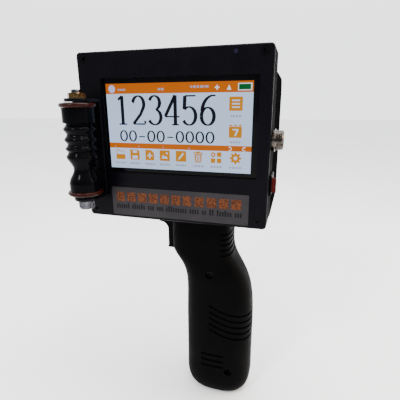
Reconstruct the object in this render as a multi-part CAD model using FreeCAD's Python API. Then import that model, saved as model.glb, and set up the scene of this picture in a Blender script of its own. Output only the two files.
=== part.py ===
"""Handheld date coder: a pistol-grip inkjet printer with a touch screen.

Shapes are drawn in millimetres about the middle of the front panel: X to the right as the
operator sees the screen, Y away from the operator, Z up. The print head looks along -X.
Each piece is moved at the end, so that the origin is the middle of the hand grip.
"""
import FreeCAD, Part
import math
import os

V = FreeCAD.Vector
X = V(1, 0, 0)
Y = V(0, 1, 0)
Z = V(0, 0, 1)

# ---- case ----
PANEL_W = 126.0
PANEL_H = 109.0
PANEL_T = 2.0
FRONT_D = 28.0
CASE_D = 100.0
REAR_TOP = 41.5
REAR_ROUND = 12.0
WALL = 2.0
CORNER_R = 2.5
EDGE_CHAMFER = 0.6
SEAM_CHAMFER = 0.4
LIP_T = 1.5
LIP_DEPTH = 4.0
FIT_GAP = 0.1
OVERRUN = 1.0
TOUCH = 1e-5
LIP_ROOT_DEPTH = 2.0
LIP_ROOT_BITE = 0.5

SIDE = PANEL_W / 2
TOP = 54.0
BOTTOM = TOP - PANEL_H
FLOOR = BOTTOM + WALL
IN_SIDE = SIDE - WALL

# ---- screws ----
M3_R = 1.5
M3_HOLE = 1.55
CSK_R = 3.0
CSK_HOLE = 3.05
CSK_DEPTH = 1.7
CSK_DRIVE_R = 1.2
CSK_DRIVE_D = 1.0
POST_R = 3.4
PANEL_SCREW_X = 57.5
PANEL_SCREW_Z = 49.9
PANEL_SCREW_L = 10.0
PANEL_POST_L = 12.0
HOLE_EXTRA = 0.5
BOSS_WEB_HALF = 2.0
CASE_SCREWS = [(57.0, 25.0), (57.0, -48.0), (-57.0, -48.0)]
CASE_BOSS_D = 12.0
CASE_BOSS_FLOOR = 1.0

# ---- display ----
WINDOW = (-46.5, 55.5, -22.9, 38.0)
WINDOW_R = 1.0
DISPLAY_R = 1.0
DISPLAY_X = 4.2
DISPLAY_Z = 7.4
DISPLAY_W = 105.5
DISPLAY_H = 67.2
GASKET_T = 0.4
TOUCH_T = 1.2
LCD_T = 3.0
LABEL_X = 3.8
LABEL_Z = -43.1
LABEL_W = 95.8
LABEL_H = 20.0
LABEL_T = 0.3
LABEL_R = 0.6
LIGHT_X = 41.3
LIGHT_Z = 50.3
LIGHT_R = 1.25
LIGHT_HOLE = 1.3
LIGHT_PROUD = 0.3
LIGHT_DEPTH = 3.0
LIGHT_COLLAR = 0.35

# ---- electronics ----
BOARD_W = 94.0
BOARD_T = 1.6
BOARD_Y = 20.0
BOARD_TOP = 48.0
BOARD_BOTTOM = -46.0
STANDOFF_X = 43.0
STANDOFF_Z = (-42.5, 45.0)
STANDOFF_R = 2.4
STANDOFF_BORE = 1.2
BOARD_HOLE = 1.25
# middle x, middle z, width, height, thickness
CHIPS = [
    (-22.0, 14.0, 16.0, 16.0, 1.6),
    (4.0, 14.0, 12.0, 12.0, 1.4),
    (26.0, 20.0, 9.0, 14.0, 1.2),
    (-4.0, -12.0, 10.0, 7.0, 2.2),
    (-36.0, -20.0, 8.0, 18.0, 5.0),
    (-12.0, -36.0, 22.0, 6.0, 5.5),
    (28.0, -8.0, 7.0, 10.0, 2.0),
]
CAPACITORS = [(8.0, -28.0), (17.0, -28.0)]
CAPACITOR_R = 3.1
CAPACITOR_L = 7.5
BUZZER = (32.0, -33.0)
BUZZER_R = 6.0
BUZZER_L = 8.0
BUZZER_HOLE_R = 1.2
BUZZER_HOLE_D = 2.0

# ---- power socket ----
SOCKET_Y = 14.0
SOCKET_Z = 0.0
SOCKET_R = 6.0
SOCKET_FLANGE_R = 7.0
SOCKET_FLANGE_T = 2.0
SOCKET_OUT = 7.0
SOCKET_IN = 9.0
SOCKET_BORE = 4.8
SOCKET_MOUTH = 3.0
SOCKET_NUT_R = 7.5
SOCKET_NUT_T = 2.5
SOCKET_PIN_R = 0.6
SOCKET_PIN_PCD = 5.0
SOCKET_PINS = 4
SOCKET_PIN_BACK = 3.0
SOCKET_PIN_SHORT = 0.6
SOCKET_BARREL_R = 5.9
SOCKET_CHAMFER = 0.5
SOCKET_FLANGE_ROUND = 0.4

# ---- rocker switch ----
SWITCH_Y = 15.5
SWITCH_Z = -28.0
BEZEL_L = 18.4
BEZEL_H = 13.0
BEZEL_T = 1.6
SWITCH_L = 16.4
SWITCH_H = 11.0
SWITCH_DEPTH = 12.0
ROCKER_L = 13.2
ROCKER_H = 9.0
ROCKER_TILT = 12.0
ROCKER_RISE = 3.0
ROCKER_SADDLE = 1.7
ROCKER_POCKET_L = 14.8
ROCKER_POCKET_H = 9.6
TRUNNION_R = 1.2
TRUNNION_HALF = 5.2
TRUNNION_CLEAR = 0.05
BEZEL_R = 1.5
BEZEL_CHAMFER = 0.5
ROCKER_POCKET_D = 6.0
ROCKER_SKIRT = 1.5
ROCKER_KEEL = 4.0
ROCKER_KEEL_HALF = 3.0
ROCKER_ROUND = 0.5
ROCKER_ROUND_EDGES = 3
TERMINAL_Y = (-5.0, 1.5)
TERMINAL_L = 5.0
TERMINAL_HALF_T = 0.4
TERMINAL_HALF_W = 2.4

# ---- guide rollers ----
ROLLER_X = -54.8
ROLLER_Y = -15.0
ROLLER_R = 9.9
AXLE_R = 3.0
BUSH_R = 5.0
BUSH_L = 8.0
BUSH_CLEAR = 0.05
ROLLER_TOP = 23.1
ROLLER_BOTTOM = -36.6
RING_R = 1.4
RING_OUT = 11.2
RING_Z = (21.4, -34.0)
RING_SEAT = RING_OUT - 2 * RING_R - 0.02
SHOULDER_TOP = 19.95
SHOULDER_BOTTOM = -32.55
WAVE = [
    (9.9, 10.9), (8.2, 9.7), (9.9, 7.2), (8.2, 3.6), (9.9, 0.4), (8.3, -2.8), (9.8, -5.2),
    (8.4, -7.4), (9.6, -9.8), (8.8, -12.6), (6.2, -18.6), (9.1, -25.2), (9.7, -28.6),
]
ARM_R = 7.6
ARM_T = 2.0
ARM_TOP = 25.5
ARM_BOTTOM = -39.1
BRACKET_W = 15.2
BRACKET_T = 2.0
BRACKET_SCREW_Z = (8.0, -18.6)
BRACKET_SCREW_L = 8.0
NUT_CORNER_R = 5.77
NUT_T = 3.2
NUT_TURN = 15.0
NUT_CROWN_LOW = 7.37
NUT_CROWN_HIGH = 5.17
AXLE_HOLE = 3.02
BOLT_HEAD_R = 5.0
BOLT_HEAD_L = 6.0
BOLT_END = 2.0
BOLT_HEAD_ROUND = 0.6
BOLT_CHAMFER = 0.5
HEX_SOCKET_R = 2.9
HEX_SOCKET_D = 2.9
MAGNET_R = 7.0
MAGNET_L = 4.0
MAGNET_BORE = 3.6
SENSOR_Z = -32.0
SENSOR_BOARD_W = 10.0
SENSOR_BOARD_H = 16.0
SENSOR_CHIP = 4.0
SENSOR_CHIP_T = 1.0

# ---- ink cartridge ----
INK_Y = 64.0
INK_Z = 2.0
INK_T = 27.0
INK_H = 68.0
INK_FRONT = -58.0
INK_BACK = 17.0
INK_GAP = 0.4
INK_LID = 2.5
INK_ROUND = 2.0
SNOUT_END = -65.5
SNOUT_T = 20.0
SNOUT_H = 36.0
SNOUT_Z = 12.0
SNOUT_R = 3.0
INK_RIB_LIFT = 3.0
INK_RIB_T = 3.0
INK_RIB_L = 5.0
INK_RIB_HALF = 10.0
NOZZLE_T = 0.3
NOZZLE_W = 9.0
NOZZLE_H = 18.0
CRADLE_T = 2.0
CRADLE_LEG_X = (-50.0, 6.0)
CRADLE_LEG_W = 5.0
CRADLE_LEG_HALF = 12.0
# where the spring contacts reach the cartridge: x, then z
CONTACTS = (-54.0, -36.0, -8.0, 24.0)
CONTACT_COLUMNS = 4
CONTACT_ROWS = 6
CONTACT_R = 0.6
CONTACT_GAP = 0.3
CONTACT_MARGIN = 4.0
LEAF_X = (-33.0, -16.0, 1.0)
LEAF_Z = -5.0
LEAF_W = 10.0
LEAF_T = 0.3
LEAF_BOW = 1.6
LEAF_SLOT_GAP = 1.0
OPENING_GAP = 0.8
FACE_T = 2.0
FACE_R = 3.0
FACE_Y = (42.0, 86.0)
FACE_Z = (-42.0, 40.0)
FACE_SCREW_Y = (45.8, 82.2)
FACE_SCREW_Z = (-30.0, 30.0)

# ---- hand grip ----
GRIP_Y = 40.0
GRIP_WALL = 2.4
FLANGE_X = (-40.0, 36.4)
FLANGE_Y = 18.0
FLANGE_UNDER = -60.0
FLANGE_R = 8.0
HOOD_X = (-36.0, -4.0)
HOOD_Y = 9.0
HOOD_UNDER = -66.4
HOOD_R = 4.0
HOOD_ROUND = 1.0
NECK_SOLID = -64.0
# left edge, right edge, half depth, squareness
NECK = (-11.5, 35.4, 18.0, 4.0)
PALM = (-1.4, 53.2, 20.2, 2.6)
NECK_HEIGHTS = (-57.0, -63.0, -69.0, -75.0, -81.0)
PALM_HEIGHTS = (-147.0, -157.0, -167.0, -177.0, -187.0, -199.0)
GRIP_SECTIONS = [(z, *NECK) for z in NECK_HEIGHTS] + [
    (-86.5, -11.2, 36.0, 18.2, 4.0),
    (-92.0, -8.9, 37.7, 18.6, 3.6),
    (-98.0, -5.2, 41.0, 19.0, 3.2),
    (-105.0, -2.5, 45.2, 19.5, 2.9),
    (-114.0, -1.1, 49.3, 19.9, 2.7),
    (-124.0, -1.0, 51.7, 20.1, 2.6),
    (-135.0, -1.2, 52.8, 20.2, 2.6),
] + [(z, *PALM) for z in PALM_HEIGHTS]
GRIP_END = -215.3
GRIP_END_INSET = 9.6
GRIP_END_STEPS = (25.0, 45.0, 62.0, 76.0, 86.0)
GRIP_END_FLATTEN = 0.75
GRIP_REACH = 40.0
GRIP_SPAN_X = (-60.0, 80.0)
GRIP_SPAN_Z = (-230.0, -50.0)
GRIP_POINTS = 32
GROOVE_DEPTH = 0.9
GROOVE_W = 1.8
PALM_GROOVE = ((21.0, -130.0), (38.0, -136.3), (58.0, -139.0))
PALM_GROOVES = 5
PALM_PITCH = 5.3
HEEL_GROOVE_X = (14.2, 33.2)
HEEL_GROOVE_Z = -175.8
HEEL_GROOVES = 3
HEEL_PITCH = 5.4
RIB_X = (29.0, 49.0)
RIB_TOP = -71.0
RIBS = 5
RIB_PITCH = 4.2
GRIP_SCREWS = [(37.1, -190.5), (21.0, -104.0)]
GRIP_BOSS_R = 3.6
GRIP_HEAD_R = 2.7
GRIP_HEAD_L = 2.2
GRIP_HEAD_CLEAR = 0.4
GRIP_HEAD_SEAT = 15.0
GRIP_BOSS_REACH = 17.5
GRIP_SCREW_REACH = 11.0
GRIP_HOLE_REACH = 12.0
SHELL_DRIVE_R = 1.3
SHELL_DRIVE_D = 1.2
MOUNT_HEAD_R = 2.8
MOUNT_HEAD_L = 2.4
MOUNT_SCREW_L = 10.0
MOUNT_SCREWS = [(-30.0, 35.0), (-30.0, 45.0), (30.5, 35.0), (30.5, 45.0)]
CABLE_HOLE = (3.0, 26.0, 30.0, 50.0)
CABLE_HOLE_R = 3.0

# ---- trigger ----
TRIGGER_FACE = -15.8
TRIGGER_BACK = -5.2
TRIGGER_TOP = -66.9
TRIGGER_BOTTOM = -89.4
TRIGGER_HALF = 8.0
TRIGGER_FLARE = -23.0
TRIGGER_TRAVEL = 3.5
TRIGGER_LIP = 0.3
TRIGGER_LIP_H = 1.4
TRIGGER_LIP_RUN = 2.2
TRIGGER_CURVE_LOW = 6.5
TRIGGER_CURVE_MID = (1.6, 3.0)
TRIGGER_CURVE_HIGH = 0.9
SLOT_HALF = 8.4
SLOT_X = (-30.0, -3.0)
SLOT_BOTTOM = -90.2
EAR_HALF = 9.6
EAR_X = -7.4
EAR_BOTTOM = -83.0
EAR_DROP = 4.0
SPRING_Z = -72.0
SPRING_R = 2.6
SPRING_WIRE = 0.4
SPRING_TURNS = 5
SEAT_X = 3.0
SEAT_T = 2.0
SEAT_HALF = 16.0
SEAT_DROP = 3.6
MICRO_Z = -82.0
MICRO_DEPTH = 6.5
MICRO_HALF_Y = 6.4
MICRO_HALF_Z = 5.0
PLUNGER_R = 1.2
PLUNGER_GAP = 0.4

# ---- battery ----
CELL_R = 9.2
CELL_L = 65.0
CELL_X = (16.6, 35.4)
CELL_BOTTOM = -183.0
CELL_ROUND = 1.0
BATTERY_BOARD_X = (8.0, 44.0)
BATTERY_BOARD_HALF = 9.0

HAND_HOLD = V(26.0, 40.0, -150.0)


# ---------------------------------------------------------------- helpers
def box(x0, x1, y0, y1, z0, z1):
    return Part.makeBox(x1 - x0, y1 - y0, z1 - z0, V(x0, y0, z0))


def rod(radius, start, end):
    return Part.makeCylinder(radius, (end - start).Length, start, end - start)


def tube(outer, inner, start, end):
    return rod(outer, start, end).cut(rod(inner, start, end))


def edges_along(shape, axis):
    return [e for e in shape.Edges if isinstance(e.Curve, Part.Line)
            and abs(e.Curve.Direction.dot(axis)) > 1 - TOUCH]


def edges_on_plane(shape, axis, level):
    return [e for e in shape.Edges if all(abs(v.Point.dot(axis) - level) < TOUCH for v in e.Vertexes)]


def rounded_box(x0, x1, y0, y1, z0, z1, radius, axis):
    """Box whose four edges along one axis are rounded."""
    block = box(x0, x1, y0, y1, z0, z1)
    return block.makeFillet(radius, edges_along(block, axis))


def join(shapes):
    return shapes[0].multiFuse(shapes[1:]).removeSplitter()


def cut_all(shape, tools):
    return shape.cut(Part.makeCompound(tools))


def prism(points, start, length):
    """Extrude a closed outline. The points are full vectors on one plane."""
    loop = [start + p for p in points]
    return Part.Face(Part.makePolygon(loop + loop[:1])).extrude(length)


def box_about(point, size_x, size_y, size_z):
    """Box centred on a point."""
    return Part.makeBox(size_x, size_y, size_z, point - V(size_x, size_y, size_z) * 0.5)


def hexagon(radius, base, axis, length, turn=0.0):
    """Hexagonal prism of one corner radius along X, Y or Z."""
    side = Y if axis == X else X
    corners = []
    for i in range(6):
        spin = FreeCAD.Rotation(axis, 60.0 * i + turn)
        corners.append(base + spin.multVec(side * radius))
    return Part.Face(Part.makePolygon(corners + corners[:1])).extrude(axis * length)


def countersunk(point, inward, length):
    """Countersunk screw whose flat head lies on the surface at a point."""
    head = Part.makeCone(CSK_R, M3_R, CSK_DEPTH, point, inward)
    shank = rod(M3_R, point, point + inward * length)
    drive = hexagon(CSK_DRIVE_R, point, inward, CSK_DRIVE_D)
    return head.fuse(shank).cut(drive).removeSplitter()


def countersink(point, inward, length):
    """The hole that a countersunk screw needs."""
    head = Part.makeCone(CSK_HOLE, M3_HOLE, CSK_DEPTH, point, inward)
    return head.fuse(rod(M3_HOLE, point - inward, point + inward * length))


def mirrored(shape):
    """The same piece on the far side of the case."""
    return shape.mirror(V(0, CASE_D / 2, 0), Y)


# ---------------------------------------------------------------- case
def panel_screw_points():
    return [V(sx * PANEL_SCREW_X, 0, sz * PANEL_SCREW_Z) for sx in (-1, 1) for sz in (-1, 1)]


def bracket_screw_points():
    return [V(ROLLER_X, -BRACKET_T, z) for z in BRACKET_SCREW_Z]


def front_panel():
    plate = rounded_box(-SIDE, SIDE, 0, PANEL_T, BOTTOM, TOP, CORNER_R, Y)
    plate = plate.makeChamfer(EDGE_CHAMFER, edges_on_plane(plate, Y, 0))
    x0, x1, z0, z1 = WINDOW
    back = PANEL_T + OVERRUN
    tools = [rounded_box(x0, x1, -OVERRUN, back, z0, z1, WINDOW_R, Y)]
    tools += [countersink(p, Y, back) for p in panel_screw_points()]
    tools += [rod(M3_HOLE, p, p + Y * (BRACKET_T + back)) for p in bracket_screw_points()]
    tools.append(rod(LIGHT_HOLE, V(LIGHT_X, -OVERRUN, LIGHT_Z), V(LIGHT_X, back, LIGHT_Z)))
    return cut_all(plate, tools)


def panel_screws():
    return Part.makeCompound([countersunk(p, Y, PANEL_SCREW_L) for p in panel_screw_points()])


def case_screw_ends():
    tip = FRONT_D - CASE_BOSS_D + CASE_BOSS_FLOOR
    return [(V(x, CASE_D, z), V(x, tip, z)) for x, z in CASE_SCREWS]


def frame_shell():
    shell = rounded_box(-SIDE, SIDE, PANEL_T, FRONT_D, BOTTOM, TOP, CORNER_R, Y)
    shell = shell.makeChamfer(SEAM_CHAMFER, edges_on_plane(shell, Y, FRONT_D))
    hollow = box(-IN_SIDE, IN_SIDE, PANEL_T, FRONT_D - WALL, FLOOR, TOP - WALL)
    mouth = box(-IN_SIDE, IN_SIDE, FRONT_D - WALL, FRONT_D, FLOOR, REAR_TOP - WALL)
    return cut_all(shell, [hollow, mouth])


def frame_posts():
    """Posts for the panel screws, and webbed bosses that take the ends of the case screws."""
    near = FRONT_D - CASE_BOSS_D
    far = FRONT_D - LIP_DEPTH - FIT_GAP
    posts = [rod(POST_R, V(p.x, PANEL_T, p.z), V(p.x, PANEL_POST_L, p.z)) for p in panel_screw_points()]
    posts += [rod(POST_R, V(x, near, z), V(x, far, z)) for x, z in CASE_SCREWS]
    for x, z in CASE_SCREWS:
        wall = math.copysign(IN_SIDE, x)
        posts.append(box(min(x, wall), max(x, wall), near, far, z - BOSS_WEB_HALF, z + BOSS_WEB_HALF))
    return posts


def frame_holes():
    holes = [rod(M3_HOLE, p, p + Y * (PANEL_SCREW_L + HOLE_EXTRA)) for p in panel_screw_points()]
    holes += [rod(M3_HOLE, a, b) for a, b in case_screw_ends()]
    holes.append(rod(SOCKET_R, socket_axis(IN_SIDE - OVERRUN), socket_axis(SIDE + OVERRUN)))
    half_l = SWITCH_L / 2 + FIT_GAP
    half_h = SWITCH_H / 2 + FIT_GAP
    holes.append(box(IN_SIDE - OVERRUN, SIDE + OVERRUN, SWITCH_Y - half_l, SWITCH_Y + half_l,
                     SWITCH_Z - half_h, SWITCH_Z + half_h))
    return holes


def front_frame():
    """Front half of the case: a deep frame that is taller than the rear housing."""
    return cut_all(join([frame_shell()] + frame_posts()), frame_holes())


def ink_opening(x0, x1):
    half_t = INK_T / 2 + OPENING_GAP
    half_h = INK_H / 2 + OPENING_GAP
    return box(x0, x1, INK_Y - half_t, INK_Y + half_t, INK_Z - half_h, INK_Z + half_h)


def roof_edge(block, top, back):
    """The edge along X where the roof meets the back."""
    return [e for e in edges_along(block, X)
            if all(abs(v.Z - top) < TOUCH and abs(v.Y - back) < TOUCH for v in e.Vertexes)]


def rear_shell():
    """Box with a rounded upper back edge, open at the seam."""
    outer = box(-SIDE, SIDE, FRONT_D, CASE_D, BOTTOM, REAR_TOP)
    outer = outer.makeChamfer(SEAM_CHAMFER, edges_on_plane(outer, Y, FRONT_D))
    outer = outer.makeFillet(REAR_ROUND, roof_edge(outer, REAR_TOP, CASE_D))
    roof = REAR_TOP - WALL
    back = CASE_D - WALL
    inner = box(-IN_SIDE, IN_SIDE, FRONT_D - OVERRUN, back, FLOOR, roof)
    inner = inner.makeFillet(REAR_ROUND - WALL, roof_edge(inner, roof, back))
    return outer.cut(inner)


def seam_lip():
    """Lip that reaches into the front frame, with a root that ties it to the walls."""
    side = IN_SIDE - FIT_GAP
    low = FLOOR + FIT_GAP
    high = REAR_TOP - WALL - FIT_GAP
    near = FRONT_D - LIP_DEPTH
    far = FRONT_D + LIP_ROOT_DEPTH
    bite = IN_SIDE + LIP_ROOT_BITE
    lip = box(-side, side, near, far, low, high)
    root = box(-bite, bite, FRONT_D, far, FLOOR - LIP_ROOT_BITE, REAR_TOP - WALL + LIP_ROOT_BITE)
    hollow = box(-side + LIP_T, side - LIP_T, near - OVERRUN, far + OVERRUN, low + LIP_T, high - LIP_T)
    return [lip.cut(hollow), root.cut(hollow)]


def rear_holes():
    tools = [ink_opening(-SIDE - OVERRUN, -IN_SIDE + WALL)]
    tools += [rod(M3_HOLE, a, b) for a, b in case_screw_ends()]
    tools += [countersink(V(x, CASE_D, z), -Y, WALL + OVERRUN) for x, z in CASE_SCREWS]
    depth = Y * (BRACKET_T + WALL + OVERRUN)
    tools += [mirrored(rod(M3_HOLE, p, p + depth)) for p in bracket_screw_points()]
    tools += [rod(M3_HOLE, V(x, y, BOTTOM - OVERRUN), V(x, y, FLOOR + OVERRUN)) for x, y in MOUNT_SCREWS]
    x0, x1, y0, y1 = CABLE_HOLE
    tools.append(rounded_box(x0, x1, y0, y1, BOTTOM - OVERRUN, FLOOR + OVERRUN, CABLE_HOLE_R, Z))
    return tools + face_screw_holes()


def rear_housing():
    """Rear half of the case, with the cartridge opening on the print side."""
    posts = [rod(POST_R, V(x, FRONT_D - LIP_DEPTH, z), V(x, CASE_D - WALL / 2, z)) for x, z in CASE_SCREWS]
    return cut_all(join([rear_shell()] + seam_lip() + posts), rear_holes())


def case_screws():
    return Part.makeCompound([countersunk(a, -Y, (b - a).Length) for a, b in case_screw_ends()])


# ---------------------------------------------------------------- display
def display_plate(y0, thickness):
    return rounded_box(DISPLAY_X - DISPLAY_W / 2, DISPLAY_X + DISPLAY_W / 2, y0, y0 + thickness,
                       DISPLAY_Z - DISPLAY_H / 2, DISPLAY_Z + DISPLAY_H / 2, DISPLAY_R, Y)


def window_gasket():
    x0, x1, z0, z1 = WINDOW
    ring = display_plate(PANEL_T, GASKET_T)
    return ring.cut(box(x0, x1, 0, PANEL_T + OVERRUN, z0, z1))


def touch_panel():
    return display_plate(PANEL_T + GASKET_T, TOUCH_T)


def lcd_module():
    back = PANEL_T + GASKET_T + TOUCH_T
    return display_plate(back, LCD_T)


def front_label():
    return rounded_box(LABEL_X - LABEL_W / 2, LABEL_X + LABEL_W / 2, -LABEL_T, 0,
                       LABEL_Z - LABEL_H / 2, LABEL_Z + LABEL_H / 2, LABEL_R, Y)


def status_light():
    lens = rod(LIGHT_R, V(LIGHT_X, -LIGHT_PROUD, LIGHT_Z), V(LIGHT_X, LIGHT_DEPTH, LIGHT_Z))
    collar = rod(LIGHT_R + LIGHT_COLLAR, V(LIGHT_X, PANEL_T, LIGHT_Z), V(LIGHT_X, LIGHT_DEPTH, LIGHT_Z))
    return join([lens, collar])


# ---------------------------------------------------------------- electronics
def standoff_points():
    return [V(sx * STANDOFF_X, PANEL_T, z) for sx in (-1, 1) for z in STANDOFF_Z]


def board_standoffs():
    posts = [tube(STANDOFF_R, STANDOFF_BORE, p, V(p.x, BOARD_Y, p.z)) for p in standoff_points()]
    return Part.makeCompound(posts)


def main_board():
    plate = box(-BOARD_W / 2, BOARD_W / 2, BOARD_Y, BOARD_Y + BOARD_T, BOARD_BOTTOM, BOARD_TOP)
    near = BOARD_Y - OVERRUN
    far = BOARD_Y + BOARD_T + OVERRUN
    return cut_all(plate, [rod(BOARD_HOLE, V(p.x, near, p.z), V(p.x, far, p.z)) for p in standoff_points()])


def board_parts():
    """Chips, capacitors and plugs on the back of the main board."""
    back = BOARD_Y + BOARD_T
    parts = [box(x - w / 2, x + w / 2, back, back + t, z - h / 2, z + h / 2) for x, z, w, h, t in CHIPS]
    parts += [rod(CAPACITOR_R, V(x, back, z), V(x, back + CAPACITOR_L, z)) for x, z in CAPACITORS]
    return Part.makeCompound(parts)


def buzzer():
    x, z = BUZZER
    back = BOARD_Y + BOARD_T
    end = back + BUZZER_L
    can = rod(BUZZER_R, V(x, back, z), V(x, end, z))
    return can.cut(rod(BUZZER_HOLE_R, V(x, end - BUZZER_HOLE_D, z), V(x, end + OVERRUN, z)))


# ---------------------------------------------------------------- power socket
def socket_axis(x):
    return V(x, SOCKET_Y, SOCKET_Z)


def socket_shell():
    inside = SIDE - SOCKET_IN
    outside = SIDE + SOCKET_OUT
    barrel = rod(SOCKET_BARREL_R, socket_axis(inside), socket_axis(SIDE))
    thread = rod(SOCKET_R, socket_axis(SIDE), socket_axis(outside))
    thread = thread.makeChamfer(SOCKET_CHAMFER, edges_on_plane(thread, X, outside))
    flange = rod(SOCKET_FLANGE_R, socket_axis(SIDE), socket_axis(SIDE + SOCKET_FLANGE_T))
    flange = flange.makeFillet(SOCKET_FLANGE_ROUND, edges_on_plane(flange, X, SIDE + SOCKET_FLANGE_T))
    body = join([barrel, thread, flange])
    return body.cut(rod(SOCKET_BORE, socket_axis(inside - OVERRUN), socket_axis(outside + OVERRUN)))


def socket_pin_solids():
    back = SIDE - SOCKET_IN - SOCKET_PIN_BACK
    tip = SIDE + SOCKET_OUT - SOCKET_PIN_SHORT
    pins = []
    for i in range(SOCKET_PINS):
        angle = 2 * math.pi * (i + 0.5) / SOCKET_PINS
        side = V(0, math.cos(angle), math.sin(angle)) * (SOCKET_PIN_PCD / 2)
        pins.append(rod(SOCKET_PIN_R, socket_axis(back) + side, socket_axis(tip) + side))
    return pins


def socket_insert():
    body = rod(SOCKET_BORE, socket_axis(SIDE - SOCKET_IN), socket_axis(SIDE + SOCKET_OUT - SOCKET_MOUTH))
    return cut_all(body, socket_pin_solids())


def socket_nut():
    start = IN_SIDE - SOCKET_NUT_T
    nut = hexagon(SOCKET_NUT_R, socket_axis(start), X, SOCKET_NUT_T)
    return nut.cut(rod(SOCKET_BARREL_R, socket_axis(start - OVERRUN), socket_axis(SIDE)))


# ---------------------------------------------------------------- rocker switch
def switch_block(x0, x1, length, height):
    """Box about the middle of the switch, between two depths."""
    middle = V((x0 + x1) / 2, SWITCH_Y, SWITCH_Z)
    return box_about(middle, x1 - x0, length, height)


def switch_body():
    face = SIDE + BEZEL_T
    bezel = switch_block(SIDE, face, BEZEL_L, BEZEL_H)
    bezel = bezel.makeFillet(BEZEL_R, edges_along(bezel, X))
    bezel = bezel.makeChamfer(BEZEL_CHAMFER, edges_on_plane(bezel, X, face))
    body = switch_block(SIDE - SWITCH_DEPTH, SIDE, SWITCH_L, SWITCH_H)
    pocket = switch_block(SIDE - ROCKER_POCKET_D, face + OVERRUN, ROCKER_POCKET_L, ROCKER_POCKET_H)
    pivot = V(SIDE, SWITCH_Y, SWITCH_Z)
    reach = Z * (TRUNNION_HALF + FIT_GAP)
    bearing = rod(TRUNNION_R + TRUNNION_CLEAR, pivot - reach, pivot + reach)
    return cut_all(join([bezel, body]), [pocket, bearing])


def switch_terminals():
    start = SIDE - SWITCH_DEPTH
    blades = []
    for offset in TERMINAL_Y:
        y = SWITCH_Y + offset
        blades.append(box(start - TERMINAL_L, start, y - TERMINAL_HALF_T, y + TERMINAL_HALF_T,
                          SWITCH_Z - TERMINAL_HALF_W, SWITCH_Z + TERMINAL_HALF_W))
    return Part.makeCompound(blades)


def rocker_button():
    """Rocker with two raised ends, tilted to the side that is switched on."""
    half = ROCKER_L / 2
    outline = [
        V(ROCKER_RISE, -half, 0),
        V(ROCKER_SADDLE, 0, 0),
        V(ROCKER_RISE, half, 0),
        V(-ROCKER_SKIRT, half, 0),
        V(-ROCKER_KEEL, ROCKER_KEEL_HALF, 0),
        V(-ROCKER_KEEL, -ROCKER_KEEL_HALF, 0),
        V(-ROCKER_SKIRT, -half, 0),
    ]
    pivot = V(SIDE, SWITCH_Y, SWITCH_Z)
    top = SWITCH_Z + ROCKER_H / 2
    rocker = prism(outline, pivot - Z * (ROCKER_H / 2), Z * ROCKER_H)
    rocker = rocker.makeFillet(ROCKER_ROUND, edges_on_plane(rocker, Z, top)[:ROCKER_ROUND_EDGES])
    rocker.rotate(pivot, Z, ROCKER_TILT)
    return join([rocker, rod(TRUNNION_R, pivot - Z * TRUNNION_HALF, pivot + Z * TRUNNION_HALF)])


# ---------------------------------------------------------------- guide rollers
def axle_point(z):
    return V(ROLLER_X, ROLLER_Y, z)


def revolved(profile_edges):
    """Turn an outline drawn in the XZ plane at the axle through a full circle."""
    face = Part.Face(Part.Wire(profile_edges))
    return face.revolve(axle_point(0), Z, 360)


def roller():
    """Grooved roller: straight top, waves, a narrow waist and a flared foot."""
    def at(r, z):
        return V(ROLLER_X + r, ROLLER_Y, z)

    wave = Part.BSplineCurve()
    wave.interpolate(Points=[at(r, z) for r, z in WAVE])
    foot_r = WAVE[-1][0]
    corners = [
        at(*WAVE[-1]),
        at(foot_r, SHOULDER_BOTTOM),
        at(RING_SEAT, SHOULDER_BOTTOM),
        at(RING_SEAT, ROLLER_BOTTOM),
        at(BUSH_R, ROLLER_BOTTOM),
        at(BUSH_R, ROLLER_TOP),
        at(RING_SEAT, ROLLER_TOP),
        at(RING_SEAT, SHOULDER_TOP),
        at(ROLLER_R, SHOULDER_TOP),
        at(*WAVE[0]),
    ]
    edges = [wave.toShape()]
    edges += [Part.makeLine(a, b) for a, b in zip(corners, corners[1:])]
    body = revolved(edges)
    magnet_seat = rod(MAGNET_R, axle_point(ROLLER_BOTTOM), axle_point(ROLLER_BOTTOM + MAGNET_L))
    return body.cut(magnet_seat)


def roller_rings():
    centre_r = RING_OUT - RING_R
    return Part.makeCompound([Part.makeTorus(centre_r, RING_R, axle_point(z), Z) for z in RING_Z])


def roller_bushes():
    bore = AXLE_R + BUSH_CLEAR
    low = ROLLER_BOTTOM + MAGNET_L
    top = tube(BUSH_R, bore, axle_point(ROLLER_TOP - BUSH_L), axle_point(ROLLER_TOP))
    bottom = tube(BUSH_R, bore, axle_point(low), axle_point(low + BUSH_L))
    return Part.makeCompound([top, bottom])


def encoder_magnet():
    return tube(MAGNET_R, MAGNET_BORE, axle_point(ROLLER_BOTTOM), axle_point(ROLLER_BOTTOM + MAGNET_L))


def encoder_board():
    """Sensor board behind the front panel, across from the ring magnet."""
    board_middle = V(ROLLER_X, PANEL_T + BOARD_T / 2, SENSOR_Z)
    chip_middle = V(ROLLER_X, PANEL_T + BOARD_T + SENSOR_CHIP_T / 2, SENSOR_Z)
    plate = box_about(board_middle, SENSOR_BOARD_W, BOARD_T, SENSOR_BOARD_H)
    chip = box_about(chip_middle, SENSOR_CHIP, SENSOR_CHIP_T, SENSOR_CHIP)
    return join([plate, chip])


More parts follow.
